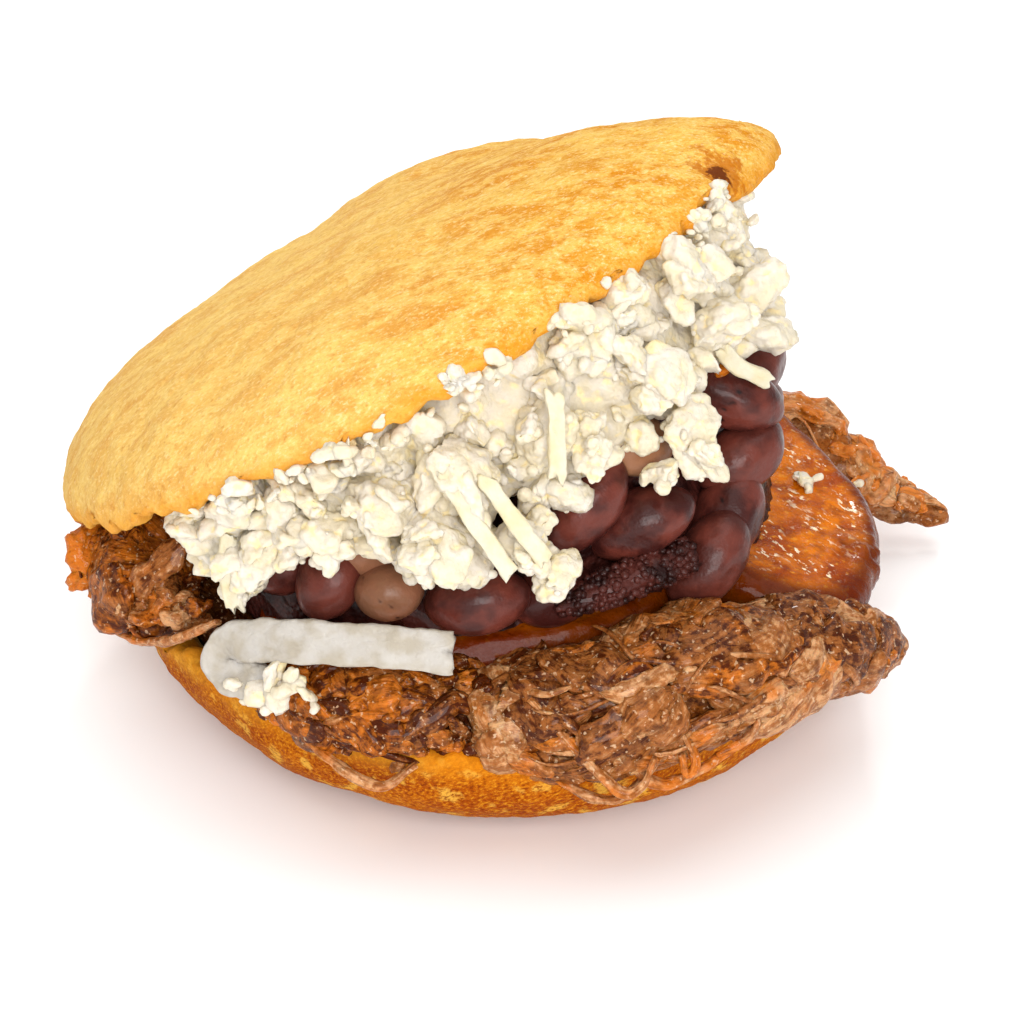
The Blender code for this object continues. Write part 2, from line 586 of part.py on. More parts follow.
def build():
    """Makes each sub-part in turn, fused from its pieces and cut clear of every one made before it."""
    clear_scene()
    earlier = []
    for name, find_pieces, colour, roughness in SUB_PARTS:
        pieces = find_pieces()
        made = make_object(name, pieces[0]())
        if len(pieces) > 1:
            combine(made, [piece() for piece in pieces[1:]], "UNION")
        if earlier:
            combine(made, [piece(grow=GAP) for piece in earlier], "DIFFERENCE")
        keep_main_body(made)
        made.data.materials.clear()
        made.data.materials.append(make_material(name, colour, roughness))
        made.data.shade_smooth()
        made.data.set_sharp_from_angle(angle=math.radians(40))
        earlier += pieces


build()
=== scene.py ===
"""The looks of a fried arepa: a round corn bread, split open and filled with shredded beef, fried plantain,
black beans and crumbled white cheese.

Sizes and places are in millimetres and degrees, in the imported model's frame: X right, Y away from the camera,
Z up, from the middle of the flat spot under the bread. They are turned into metres where Blender gets them.
"""

import math
import random
from functools import reduce
from operator import matmul

import bmesh
import bpy
import numpy as np
from mathutils import Matrix, Vector, noise


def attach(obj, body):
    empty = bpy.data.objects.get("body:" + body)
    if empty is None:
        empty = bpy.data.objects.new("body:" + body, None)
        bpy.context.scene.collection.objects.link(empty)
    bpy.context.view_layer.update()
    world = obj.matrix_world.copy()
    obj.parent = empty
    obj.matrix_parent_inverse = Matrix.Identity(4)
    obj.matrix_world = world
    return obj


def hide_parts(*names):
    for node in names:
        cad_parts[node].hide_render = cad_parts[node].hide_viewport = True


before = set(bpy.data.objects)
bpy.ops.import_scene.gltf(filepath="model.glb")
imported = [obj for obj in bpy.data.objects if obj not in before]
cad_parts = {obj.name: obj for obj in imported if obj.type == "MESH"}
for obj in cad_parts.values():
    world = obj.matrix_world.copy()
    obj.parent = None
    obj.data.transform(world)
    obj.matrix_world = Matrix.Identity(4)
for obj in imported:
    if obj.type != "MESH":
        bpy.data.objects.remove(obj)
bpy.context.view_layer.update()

MM = 0.001
TINY = 1e-12
SEED = 11
UP = np.array([0.0, 0.0, 1.0])
FIRST_SIDE = (0.31, 0.2, 0.93)  # the way that ropes are turned at their start

# Bread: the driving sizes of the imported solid, drawn here with many more faces
RIM_RADIUS = 48.0
FLAT_RADIUS = 23.0
WALL = 3.6
BASE_INSET = 2.0  # how much smaller the flat spot is on the inner face
BELLY = 0.8
LIP_RADIUS = {-180: 48, -140: 48, -105: 49, -75: 48, -40: 46.5, 0: 44.5, 45: 44.5, 90: 46.5, 115: 48}
LIP_HEIGHT = {-180: 17.2, -80: 17.2, -50: 15.5, -15: 12.5, 30: 11.5, 80: 13.5, 112: 17.2}
TOP_REACH = {-180: 0.995, -80: 1.0, -50: 0.93, -20: 0.95, 5: 1.03, 30: 1.0, 90: 1.0}
DOME_LIFT = {-180: 1, -150: 0.9, -90: 0, 0: -0.3, 14: -1.7, 30: -2.1, 54: -1.8, 68: 0.6, 82: 2.2, 98: 1.8,
             120: 0, 150: 0.5}
DOME_LIFT_PEAK = 6.75
LIP_DROOP = {-180: 0, -34: 0, -24: -1.2, -18: 0.6, -10: 2.4, 0: 1.2, 20: 0}
DROOP_POWER, PULL_POWER = 8, 3  # how closely the droop and the hinge's pinch keep to the lips
TOP_CENTRE = np.array([-12.5, 4.0, 46.2])
TOP_LEAN = 31.8
TOP_LEANS_TO = 150.5
DOME_HEIGHT = 12.9
DOME_SQUARE, DOME_ROUND = 2.4, 0.6
SKIN_LUMP, SKIN_RELIEF = 15.0, 0.8
HINGE_FROM, HINGE_TO = 112, 168
HINGE_BULGE = 2.5
PINCH_SPAN, PINCH = 18.0, 0.35
LIP_ROUND = 1.1

# The bread's grid, its grain and its torn lips
COLUMNS = 405
OUTER_ROWS, INNER_ROWS = (26, 60), (12, 16)  # on the bottom half and on the top half
HINGE_ROWS, LIP_ROWS = 8, 6
HINGE_BLEND = 9  # rows over which the halves' colours run into each other beyond the hinge's own
TORN = {-180: 1.1, -165: 1.6, -150: 1.6, -130: 0.9, -60: 0.9, -30: 1.1, -10: 1.1, 20: 0.6, 60: 0.3, 150: 0.3}
TORN_SIZE, TORN_HEIGHT, TORN_POWER = 1.8, 1.6, 24
HINGE_TORN = 0.25  # how torn and browned the hinge is against the lips
EDGE_POWER = 9
BLEND_FADES = (20, 50)  # degrees from the middle of the hinge
LIP_LUMP, LIP_RELIEF = 3.0, 0.6
LIP_SMOOTHING = 10
GRAIN = ((6.0, 0.34), (2.4, 0.2), (1.1, 0.12))
BROWNED = (  # mark, middle, reach
    ("burnt", (24.3, -4.6, 70.9), 5.0),
    ("charred", (24.2, -5.6, 70.9), 2.6),
)
BROWNED_LUMP, BROWNED_RELIEF, BROWNED_EDGE = 2.5, 0.5, (0.3, 1.1)
LIT_SIDE_SPAN = (-20.0, 40.0)  # millimetres to the left between which the bread is painted paler, as painted light on its brighter left side
BREAD_HOLLOWS = (6, 0.25)  # how far to smooth, and how deep a full hollow is, for the painted shade in the bread's hollows

# Filling between the halves
HINGE_REACH = 33.0
BEEF_REACH = {-180: 42, -90: 42, -40: 41, 0: 38, 100: 38, 130: HINGE_REACH, 155: HINGE_REACH}
BEEF_TOP = {-180: 0.5, -150: 0.6, -130: 0.3, -110: 0.2, -90: 0.18, -50: 0.22, -15: 0.1, 30: 0.16,
            80: 0.22, 140: 0.3}
BEAN_REACH = {-180: 36, -140: 37, -90: 39, -50: 39.5, -15: 38, 30: 35, 80: 36, 130: HINGE_REACH,
              155: HINGE_REACH}
CHEESE_FLOOR = {-180: 0.75, -162: 0.75, -144: 0.6, -126: 0.62, -108: 0.68, -90: 0.53, -82: 0.55, -72: 0.63,
                -50: 0.66, -32: 0.69, -10: 0.68, 40: 0.55, 140: 0.6}
CHEESE_REACH = {-180: 30, -162: 31, -144: 37, -126: 43, -15: 43, 30: 39, 80: 38, 130: HINGE_REACH,
                155: HINGE_REACH}
LAYER_PROFILE = ((0.0, 1.0), (0.5, 1.0), (0.94, 0.96), (1.0, 0.7), (1.0, -0.6), (0.92, -0.95), (0.5, -1.0),
                 (0.0, -1.0))
LAYER_COLUMNS, LAYER_ROWS = 200, 40
LAYER_INSET = 0.9
LAYER_LUMP, LAYER_RELIEF = 9.0, 1.5

# Plantain slices
SLICE_THICK = 7.0
SLICE_PROFILE = ((0.0, -0.6), (0.55, -0.3), (0.88, 0.0), (1.0, -1.8), (1.0, 2.2 - SLICE_THICK),
                 (0.88, -SLICE_THICK), (0.5, -SLICE_THICK), (0.0, -SLICE_THICK))
SLICE_COLUMNS, SLICE_ROWS = 180, 54
SLICE_RIM, SLICE_WAVES = (0.72, 1.0), (0.04, 0.03)
SLICE_STRETCH, SLICE_LUMPS, SLICE_GRAIN = (0.35, 1.0, 1.0), ((5.0, 0.6), (1.8, 0.2)), (0.9, 0.08)
# How far to smooth, and how deep a full hollow is, for the painted shade in the slices' hollows
SLICE_HOLLOWS = (8, 0.3)
FRONT_SLICE = dict(middle=(-5.0, -22.0, 27.6), half_length=27.0,
                   half_width=18.0, turn=2.0, pitch=-4.0, roll=0.0)
RIGHT_SLICE = dict(middle=(30.3, -2.5, 25.6), half_length=25.5,
                   half_width=15.0, turn=-81.0, pitch=0.0, roll=-13.0)
NUB_AT, NUB_REACH = (41.5, -12.5, 20.0), (2.0, 6.0)  # the crusty end of the right slice
NUB_HEIGHT, NUB_LUMPS, NUB_BROWN = 0.3, (1.4, 1.2), 0.7

# Beef: bundles of fibres, each a path with a radius at every point, and the fibres on them
FRONT_BUNDLE = (
    ((-4.5, -41.0, 19.0), 4.0), ((0.0, -41.0, 19.2), 7.2), ((10.0, -41.0, 20.6), 8.9),
    ((22.0, -38.0, 22.0), 8.3), ((34.0, -29.0, 19.3), 6.3), ((41.0, -23.0, 16.8), 4.8),
    ((47.5, -19.0, 13.5), 1.6),
)
LEFT_BUNDLE = (
    ((-30.0, -32.0, 21.0), 4.0), ((-21.0, -38.5, 20.5), 6.2), ((-13.0, -41.5, 20.0), 6.5),
    ((-2.0, -41.5, 20.0), 5.5),
)
CORNER_BUNDLE = (
    ((-40.0, -4.0, 24.0), 4.0), ((-44.0, -13.0, 24.5), 5.6), ((-43.5, -20.0, 22.5), 6.0),
    ((-40.0, -27.0, 22.0), 4.5),
)
TAIL_BUNDLE = (
    ((16.0, 17.0, 14.0), 5.0), ((35.0, 25.0, 17.0), 4.4), ((43.5, 25.0, 12.0), 3.6),
    ((48.7, 24.5, 7.0), 3.1), ((53.2, 24.0, 5.6), 2.6), ((58.0, 23.4, 3.4), 1.5),
)
BUNDLE_FLAT = 0.85
BUNDLE_STEPS, BUNDLE_SIDES = 60, 40
BODY_SHARE, BODY_END_POWER, BODY_FACES = 0.86, 12, (0.0, -0.5, 1.0)
BODY_STRETCH, BODY_LUMPS, BODY_GRAIN = (0.5, 1, 1), (1.8, 0.9), (0.9, 0.3)
# The body's tone, its warmth, and how much painted shade darkens it.
BODY_TONE, BODY_WARMTH, BODY_SHADE = 0.4, 0.4, 0.64
STRAND_FAN = (-45, 145)  # from under a bundle's outer side to over its top
SLANT, SWAY = 0.4, 18.0  # how far shreds turn from a bundle's direction, in radians, and wander, in degrees
TILT = 0.3  # how far one end of a shred lies above the other, as a share of its bundle's radius
CHUNK = dict(length=(7, 15), half=(2.2, 4.2), flat=(0.35, 0.55), sides=26, ridges=(5, 7), depth=0.92)
THICK = dict(length=(7, 15), half=(1.1, 2.0), flat=(0.5, 0.8), sides=14, ridges=(3, 4), depth=0.97)
THIN = dict(length=(8, 20), half=(0.45, 0.9), flat=(0.5, 0.9), sides=10, ridges=(2, 3), depth=1.02)
FIBRE = dict(length=(5, 16), half=(0.2, 0.4), flat=(0.6, 1.0), sides=6, ridges=(2, 2), depth=1.06)
SHREDS = (
    # bundle, warmth, tone, chunks, thick shreds, thin shreds, fibres, lumps
    (FRONT_BUNDLE, 0.0, 0.0, 48, 24, 16, 24, 70), (LEFT_BUNDLE, 0.7, -0.25, 14, 12, 8, 8, 90),
    (CORNER_BUNDLE, 0.6, -0.15, 10, 12, 12, 10, 50), (TAIL_BUNDLE, 0.7, 0.45, 18, 12, 6, 10, 50),
)
BEEF_STRETCH, BEEF_LUMPS, BEEF_GRAIN = (1, 1, 3), (3.0, 0.7), (1.4, 0.3)
RIDGE_HEIGHT, RIDGE_TWIST, RIDGE_SHADE = 0.05, (-0.25, 0.25), 0.12
KNOB_HEIGHT, KNOB_STRETCH = 0.55, (0.5, 1.2)
SHRED_STEPS, SHRED_TONE = 1.4, (0.2, 0.95)  # steps to a millimetre
SHRED_ENDS, SHRED_LIFT, FULL_RADIUS = 0.12, 0.12, 5  # on a thinner bundle shreds are thinner too
LOOSE_ENDS, LOOSE_END_REACH = 0.1, 2.5  # how many shreds have an end off the bundle, and how far
LUMP_HALF, LUMP_LENGTH, LUMP_THICK, LUMP_TONE = (0.6, 1.5), (1.0, 2.0), (0.6, 0.9), (0.2, 1.0)
LUMP_PLACE, LUMP_DEPTH = (0.02, 0.97), (0.88, 1.0)
FINE_LUMP_HALF = 1.1  # larger lumps have more faces
GRAIN_STRETCH = 0.14
BEEF_FLOOR, FIBRE_FLOOR = 0.6, 0.4  # how low the beef may hang
LUMP_TRAILS = (
    # a path, how many lumps lie round it, and their warmth
    (((-49.0, -9.0, 29.0), (-50.5, -14.0, 26.5), (-50.0, -18.0, 22.5)), 28, 2.0),
    (((-45.0, -26.0, 24.0), (-40.5, -28.5, 24.0), (-37.0, -29.0, 26.0)), 24, 0.6),
)
TRAIL_HALF, TRAIL_SPREAD = (0.9, 1.8), 1.4
SINGLE_LUMPS = (  # place, size, warmth
    ((-41.2, -25.8, 26.6), 1.7, 0.3), ((24.7, -17.4, 51.2), 0.9, 2.0), ((45.6, -19.4, 14.0), 1.5, 0.2),
    ((44.8, -18.6, 15.2), 1.3, 0.5), ((45.0, -20.8, 13.2), 1.3, 0.3),
)
STRAP_PATH = ((-37.0, -24.5, 33.5), (-41.0, -26.0, 30.0), (-44.5, -26.0, 26.0), (-45.0, -25.5, 23.0))
LOOSE_STRANDS = (
    ((-47.5, -23, 18), (-44.2, -27, 19.5), (-39.5, -31.5, 22.8), (-34, -36, 28.5)),
    ((-44, -10, 28), (-49, -13, 27), (-51.5, -15, 24), (-50, -18, 20)),
    ((4, -48, 15.5), (9, -49.5, 13.5), (13, -50, 14), (17, -48, 18)),
    ((12, -48, 22), (14, -49.5, 17.5), (18, -49, 15), (25, -45.5, 17)),
    ((-24, -44, 18), (-20, -47.5, 16.5), (-15, -49.5, 15), (-11, -48, 17)),
)
LOOPS = (
    ((2, -47, 25.5), (8, -50.3, 20), (12.3, -51.2, 15.5), (14.8, -51.4, 16.5), (16.2, -50.8, 20)),
    ((24, -42.5, 26), (28, -43, 21.5), (27.5, -44.5, 18.5), (23.5, -46.5, 17)),
    ((19.5, -48, 21.5), (21, -49, 18), (20, -49.2, 16.5), (19.3, -48.8, 19)),
)
LOOSE_STEPS, LOOSE_SIDES, LOOSE_RADIUS, LOOSE_WIDE, LOOSE_THICK = 40, 12, 0.75, 1.2, 0.75
STRAP_STEPS, STRAP_SIDES, STRAP_HALF, STRAP_THICK = 30, 20, 1.9, 0.4
STRAP_FACES, STRAP_RIDGES = (-0.3, -0.9, 0.4), 6

# Beans: the middle, the direction of the long axis, and the length against a whole bean's
BEAN_HALF = (6.9, 4.3, 3.9)
BEAN_PLUMP = 0.6
BEAN_BEND, DIMPLE, DIMPLE_HALF = 0.16, 0.12, (0.3, 0.35)
BEAN_DENTS = ((0.9, 0.05), (0.3, 0.012))
CRACKED, CRACK_WIDTH, CRACK_DEPTH = 0.6, 0.035, 0.07  # the share of beans with a crack, and its size
BEANS = (
    ((25.5, -15.5, 47.0), (1.0, -0.2, -0.45), 1.0), ((28.5, -7.5, 46.5), (0.3, 0.9, 0.1), 0.9),
    ((28.8, -5.5, 39.5), (0.2, 0.9, -0.3), 0.85), ((27.0, -18.0, 39.8), (0.7, 0.5, 0.3), 0.9),
    ((25.2, -22.8, 34.6), (0.3, 0.6, 0.6), 0.95), ((23.0, -28.0, 31.8), (0.5, 0.4, 0.7), 0.95),
    ((14.5, -30.0, 38.2), (1.0, 0.0, 0.5), 1.0), ((8.0, -31.5, 41.5), (0.6, 0.3, 0.6), 1.0),
    ((14.0, -25.5, 46.0), (1.0, 0.1, -0.1), 0.7), ((-4.0, -38.0, 32.8), (1.0, 0.0, 0.15), 0.9),
    ((-14.0, -37.5, 33.8), (1.0, 0.1, 0.1), 0.6), ((-21.0, -35.8, 34.5), (0.3, 0.5, 0.8), 0.75),
    ((-16.5, -33.5, 37.4), (1.0, 0.3, 0.1), 0.7), ((-26.5, -30.5, 32.8), (0.8, -0.4, 0.5), 0.7),
    ((4.5, -34.0, 31.0), (1.0, 0.2, 0.1), 0.8), ((28.0, 6.0, 36.0), (0.2, 1.0, 0.1), 0.95),
    ((25.0, 15.0, 32.0), (0.6, 0.7, 0.2), 0.95), ((21.0, 24.0, 31.0), (1.0, -0.5, 0.1), 0.95),
    ((10.0, 31.5, 29.0), (1.0, -0.2, 0.2), 1.0), ((-1.0, 34.0, 26.5), (1.0, 0.1, 0.3), 0.9),
)
FINE_BEANS = 15  # those at the open mouth have more faces
TAN_BEANS = {8: 0.9, 10: 0.5, 12: 0.6}  # pale ones, by their place in the list
MASH_BAND = (((5.0, -38.0, 31.8), 1.2), ((10.0, -36.4, 33.0), 2.0), ((15.0, -34.0, 33.8), 2.2),
             ((20.5, -30.5, 34.0), 1.8))
BAND_STEPS, BAND_SIDES, BAND_LUMPS = 30, 24, (2.0, 0.6)
MASH_GRAINS, MASH_RADIUS, MASH_RELIEF = 420, (0.35, 0.68), ((2.2, 0.9), (0.9, 0.35))

# Cheese: clumps with a radius each, gratings as paths, and crumbs scattered over the layer's edge
CLUMPS = (
    ((20.5, -29.0, 49.5), 4.6), ((16.8, -31.5, 45.8), 2.2), ((8.5, -36.5, 52.5), 3.3),
    ((5.7, -41.0, 38.4), 3.3), ((1.5, -41.5, 43.2), 3.8), ((-9.6, -43.5, 42.0), 3.5),
    ((-9.0, -43.0, 44.5), 4.6), ((-29.5, -37.0, 38.5), 4.0), ((-31.0, -35.5, 32.5), 2.6),
    ((-25.5, -38.5, 42.5), 4.0), ((-20.0, -40.0, 43.5), 3.8), ((27.3, -9.0, 55.0), 6.0),
    ((23.5, -3.0, 61.0), 5.5), ((22.0, -14.0, 61.0), 5.0), ((23.5, -8.5, 66.0), 4.0),
    ((23.0, -18.5, 57.0), 5.0), ((14.5, -28.0, 57.5), 5.5), ((4.0, -35.5, 54.5), 5.0),
    ((-6.0, -40.0, 51.0), 5.0), ((-15.0, -41.0, 47.5), 4.6), ((26.0, 2.0, 52.0), 5.0),
    ((19.0, -19.5, 66.0), 5.0),
)
GRATINGS = (
    ((-8, -42.5, 54), (-4, -45.5, 48), (0.5, -47.0, 41.5)),
    ((-3.5, -42.5, 53), (0.5, -45, 48), (4, -45.5, 43)),
    ((4.5, -37.5, 61), (5, -40, 56), (5, -41.5, 50.5)),
    ((24, -19, 55.5), (26, -18.4, 52.6), (28.2, -18, 50.9), (30.4, -16.9, 49.2)),
    ((-32, -36, 41), (-32.5, -37.5, 37), (-31.5, -38, 31)),
)
GRATING_HALF = (1.05, 0.62)
GRATING_FACES = (0.2, -1.0, 0.3)
STRIP_PATH = (
    (-6.4, -46.2, 31.2), (-15.0, -45.4, 31.6), (-24.0, -42.8, 30.4), (-29.0, -40.2, 28.8),
    (-32.6, -38.0, 26.6), (-33.4, -38.0, 24.2), (-30.6, -41.0, 23.7), (-26.4, -43.2, 23.9),
)
STRIP_HALF = (2.45, 0.75)
STRIP_FACES = (0.1, -0.85, 0.5)
CRUMB_AZIMUTHS = (-128, 105)
BELT_PROFILE = ((0.88, 0.92), (0.96, 0.92), (0.99, 0.75), (0.99, 0.45), (0.99, 0.15), (0.99, -0.15),
                (0.99, -0.45), (0.98, -0.75), (0.95, -0.95), (0.86, -0.92))
CLUMP_SHARE, SATELLITES, SATELLITE_SHARE = 0.9, 3, (0.4, 0.65)
CHIPS, CRUMBS, GRAINS, LIP_CRUMBS = 150, 140, 160, 90
CHIP_HALF, CRUMB_HALF, LIP_CRUMB_HALF, GRAIN_RADIUS = (1.8, 3.6), (0.6, 1.3), (0.5, 1.6), (0.25, 0.6)
LIP_CRUMB_AZIMUTHS, LIP_CRUMB_DROP = (-122, -16), (-0.2, 3.0)
FAR_CRUMBS = (  # on the right slice and on the strand
    ((36.7, 0.3, 24.8), 1.2), ((35.5, 0.9, 24.9), 0.8), ((37.8, 0.9, 24.6), 0.8), ((36.9, -1.0, 24.2), 0.8),
    ((41.5, 27.0, 15.8), 1.7), ((39.0, 26.5, 17.0), 1.2), ((45.4, 21.6, 10.8), 0.9),
)
STRIP_CRUMBS = (  # on the strip's ragged end
    ((-31.5, -41.4, 23.4), 1.4), ((-29.2, -42.9, 23.4), 1.7), ((-27.0, -44.2, 24.2), 1.8),
    ((-25.4, -45.0, 25.8), 1.7), ((-23.6, -45.6, 25.0), 1.3), ((-27.6, -44.4, 22.4), 1.1),
    ((-22.6, -46.0, 23.6), 0.9), ((-30.6, -42.4, 21.8), 0.8), ((-27.2, -43.9, 26.6), 1.5),
    ((-25.2, -44.6, 27.0), 1.0),
)
FACETS, FACET_DEPTH, FACET_POWER = 8, (0.5, 0.92), 9
CHIP_STRETCH = ((1.0, 1.45), (0.7, 1.05), (0.5, 0.8))
CHIP_LUMPS, FULL_RELIEF_HALF = (1.7, 0.6), 1.5  # smaller chips have less relief
NODULE, NODULE_HEIGHT = 0.95, 0.4
CHEESE_BODY = (0.88, 0.88, 1.0)
BELT_LUMPS, BELT_GRAIN = (6.0, 2.0), (3.0, 1.2)
CHIP_DEPTH, CRUMB_DEPTH = (-0.3, 1.6), (-1.4, 0.6)  # how far inside the cheese's edge their middles lie
FINE_CRUMB_HALF = 0.75  # larger crumbs have more faces
# RIBBON_HOLLOW is the ribbons' even hollow mark, too low for the painted bounce light of the hollows to show.
RIBBON_STEPS, RIBBON_SIDES, RIBBON_HOLLOW = 200, 40, 0.35
RIBBON_RELIEF = ((3.0, 0.4), (0.9, 0.1))
GRATING_STEPS, GRATING_TORN = 40, (1.5, 1.5)
STRIP_STEPS, STRIP_TORN, STRIP_RAGGED = 160, (1.0, 1.8), 0.5
BELT_COLUMNS, BELT_ROWS = 460, 44

# The photograph's camera and the studio
SHOWN_POINT = np.array([0.0, 0.0, 20.2])
CAMERA_DISTANCE, CAMERA_ELEVATION = 450.0, 33.0
CAMERA_LENS, SENSOR = 126.35, 36.0
NEAREST_SEEN, FURTHEST_SEEN = 0.01, 20.0  # metres
FLOOR_SIZE = 6000.0
LAMPS = (
    # name, place, side, watts
    ("over", (-110.0, 130.0, 900.0), 1400.0, 7.3),
    ("front", (90.0, -720.0, 420.0), 500.0, 5.9),
    ("glint", (60.0, 650.0, 460.0), 70.0, 1.2),
)
SKY = 0.5

# Materials
ROUGHNESS_SPAN = (0.3, 0.7)  # the noise values between which a surface goes from glossy to dull
MIX_FIRST, MIX_SECOND, MIX_RESULT = 6, 7, 2  # the sockets of a Mix node that carry colours


def around(knots, azimuth):
    """Values at azimuths, eased between {azimuth: value} knots all the way round."""
    spots = np.array(sorted(knots), float)
    values = np.array([knots[spot] for spot in sorted(knots)] + [knots[min(knots)]], float)
    spots = np.append(spots, spots[0] + 360)
    azimuth = (np.asarray(azimuth, float) - spots[0]) % 360 + spots[0]
    index = np.clip(np.searchsorted(spots, azimuth, side="right") - 1, 0, len(spots) - 2)
    share = eased(azimuth, spots[index], spots[index + 1])
    return values[index] + share * (values[index + 1] - values[index])


def level(azimuth):
    """Level unit vectors that point to azimuths."""
    angle = np.radians(azimuth)
    return np.stack([np.cos(angle), np.sin(angle), np.zeros_like(angle)], -1)


def rough(points, size, height, shift=0.0):
    """Soft noise at each point: size is how wide a lump is, height the most that it rises."""
    points = np.asarray(points, float)
    flat = (points.reshape(-1, 3) / size + shift).tolist()
    return height * np.array([noise.noise(point) for point in flat]).reshape(points.shape[:-1])


def lumpy(points, *layers):
    """Soft noise in layers, each with how wide its lumps are and how high they rise."""
    return sum(rough(points, size, height) for size, height in layers)


def unit(vectors):
    """The same vectors, one to a row, with a length of 1."""
    return vectors / np.linalg.norm(vectors, axis=1, keepdims=True)


def turn_to(direction):
    """The turn that takes X to a direction."""
    return np.array(Vector(direction).to_track_quat("X", "Z").to_matrix())


def any_way(rng):
    """A random direction."""
    return [rng.uniform(-1, 1) for _ in range(3)]


def round_angles(count):
    """Angles at even steps all the way round."""
    return np.linspace(0, 2 * math.pi, count, endpoint=False)


def eased(value, start, end):
    """Goes softly from 0 at start to 1 at end."""
    share = np.clip((value - start) / (end - start), 0, 1)
    return share * share * (3 - 2 * share)


def smooth_path(spots, steps):
    """Points at even steps along a smooth curve through the spots, which may have any number of values."""
    spots = np.array(spots, float)
    ends = np.concatenate([[2 * spots[0] - spots[1]], spots, [2 * spots[-1] - spots[-2]]])
    place = np.linspace(0, len(spots) - 1, steps + 1)
    index = np.minimum(place.astype(int), len(spots) - 2)
    share = (place - index)[:, None]
    before, here, there, beyond = (ends[index + step] for step in range(4))
    bend = (2 * before - 5 * here + 4 * there - beyond) * share**2
    bend = bend + (3 * here - before - 3 * there + beyond) * share**3
    return 0.5 * (2 * here + (there - before) * share + bend)


def step_lengths(path):
    """How long each step of a path is."""
    return np.linalg.norm(np.diff(path, axis=0), axis=1)


def read_off(place, places, rows):
    """Points read off between rows of points, at places among the rows' own."""
    return np.stack([np.interp(place, places, rows[:, axis]) for axis in range(3)], -1)


class Shape:
    """A skin in millimetres: its points, the triangles between them, and marks that materials read."""

    def __init__(self, points, triangles, **marks):
        self.points = np.asarray(points, float)
        self.triangles = np.asarray(triangles, int)
        self.marks = {name: np.broadcast_to(np.asarray(mark, float), len(self.points)).copy()
                      for name, mark in marks.items()}

    def corners(self):
        """The three corners of every triangle."""
        return (self.points[self.triangles[:, corner]] for corner in range(3))

    def facing_out(self):
        """The same closed skin, its triangles turned over if they face in."""
        a, b, c = self.corners()
        if np.einsum("ij,ij->", a, np.cross(b, c)) < 0:
            self.triangles = self.triangles[:, ::-1]
        return self

    def normals(self):
        """The way out of the skin at each point."""
        a, b, c = self.corners()
        face = np.cross(b - a, c - a)
        summed = np.zeros_like(self.points)
        for axis in range(3):
            for corner in range(3):
                summed[:, axis] += np.bincount(self.triangles[:, corner], face[:, axis], len(self.points))
        return summed / np.maximum(np.linalg.norm(summed, axis=1, keepdims=True), TINY)

    def pushed(self, heights):
        """The same skin with each point moved out along its normal."""
        self.points = self.points + self.normals() * np.asarray(heights)[:, None]
        return self

    def held_above(self, height):
        """The same skin with nothing below a height."""
        self.points[:, 2] = np.maximum(self.points[:, 2], height)
        return self

    def relaxed(self, times):
        """Where the points would lie after each moves to the middle of its neighbours, a few times."""
        ends = np.concatenate([self.triangles[:, pair] for pair in ([0, 1], [1, 2], [2, 0])])
        count = np.maximum(np.bincount(ends[:, 0], minlength=len(self.points)), 1)
        points = self.points
        for _ in range(times):
            points = np.stack([np.bincount(ends[:, 0], points[ends[:, 1], axis], len(points)) / count
                               for axis in range(3)], -1)
        return points

    def hollows(self, times, depth):
        """Marks points that lie in a hollow with 1, points on a bump with 0 and flat places with 0.5."""
        sunk = np.einsum("ij,ij->i", self.relaxed(times) - self.points, self.normals())
        return np.clip(0.5 + 0.5 * sunk / depth, 0, 1)


def joined(shapes):
    """One shape from many."""
    start, triangles = 0, []
    for shape in shapes:
        triangles.append(shape.triangles + start)
        start += len(shape.points)
    marks = {name: np.concatenate([shape.marks[name] for shape in shapes]) for name in shapes[0].marks}
    return Shape(np.concatenate([shape.points for shape in shapes]), np.concatenate(triangles), **marks)


def trimmed(shape):
    """The same skin without the points that no triangle uses."""
    used = np.bincount(shape.triangles.ravel(), minlength=len(shape.points)) > 0
    place = np.cumsum(used) - 1
    marks = {name: mark[used] for name, mark in shape.marks.items()}
    return Shape(shape.points[used], place[shape.triangles], **marks)


def grid_faces(rows, columns):
    """Triangles over a grid of points stored row by row, each row closed on itself."""
    row, column = np.arange(rows - 1)[:, None], np.arange(columns)[None]
    after = (column + 1) % columns
    a, b = row * columns + column, row * columns + after
    c, d = (row + 1) * columns + after, (row + 1) * columns + column
    return np.concatenate([np.stack(corners, -1).reshape(-1, 3) for corners in ((a, b, c), (a, c, d))])


def turned_skin(rings, **marks):
    """A closed skin over rings of points, each end drawn together in its middle."""
    rows, columns = rings.shape[:2]
    points = np.concatenate([rings.reshape(-1, 3), [rings[0].mean(0), rings[-1].mean(0)]])
    column = np.arange(columns)
    after, last = (column + 1) % columns, (rows - 1) * columns
    first_cap = np.stack([np.full(columns, rows * columns), after, column], -1)
    last_cap = np.stack([np.full(columns, rows * columns + 1), last + column, last + after], -1)
    triangles = np.concatenate([grid_faces(rows, columns), first_cap, last_cap])
    return Shape(points, triangles, **marks).facing_out()


def unit_ball(detail):
    """The points and triangles of a ball of radius 1."""
    ball = bmesh.new()
    bmesh.ops.create_icosphere(ball, subdivisions=detail, radius=1.0)
    points = np.array([vertex.co[:] for vertex in ball.verts])
    triangles = np.array([[vertex.index for vertex in face.verts] for face in ball.faces])
    ball.free()
    return points, triangles


BALLS = {detail: unit_ball(detail) for detail in (1, 2, 3, 4, 5)}


def carried_sides(ahead):
    """A way across a path at each of its steps, carried along it without a twist."""
    side = np.cross(ahead[0], FIRST_SIDE)
    sides = []
    for direction in ahead:
        side = side - direction * (side @ direction)
        side = side / np.linalg.norm(side)
        sides.append(side)
    return np.array(sides)


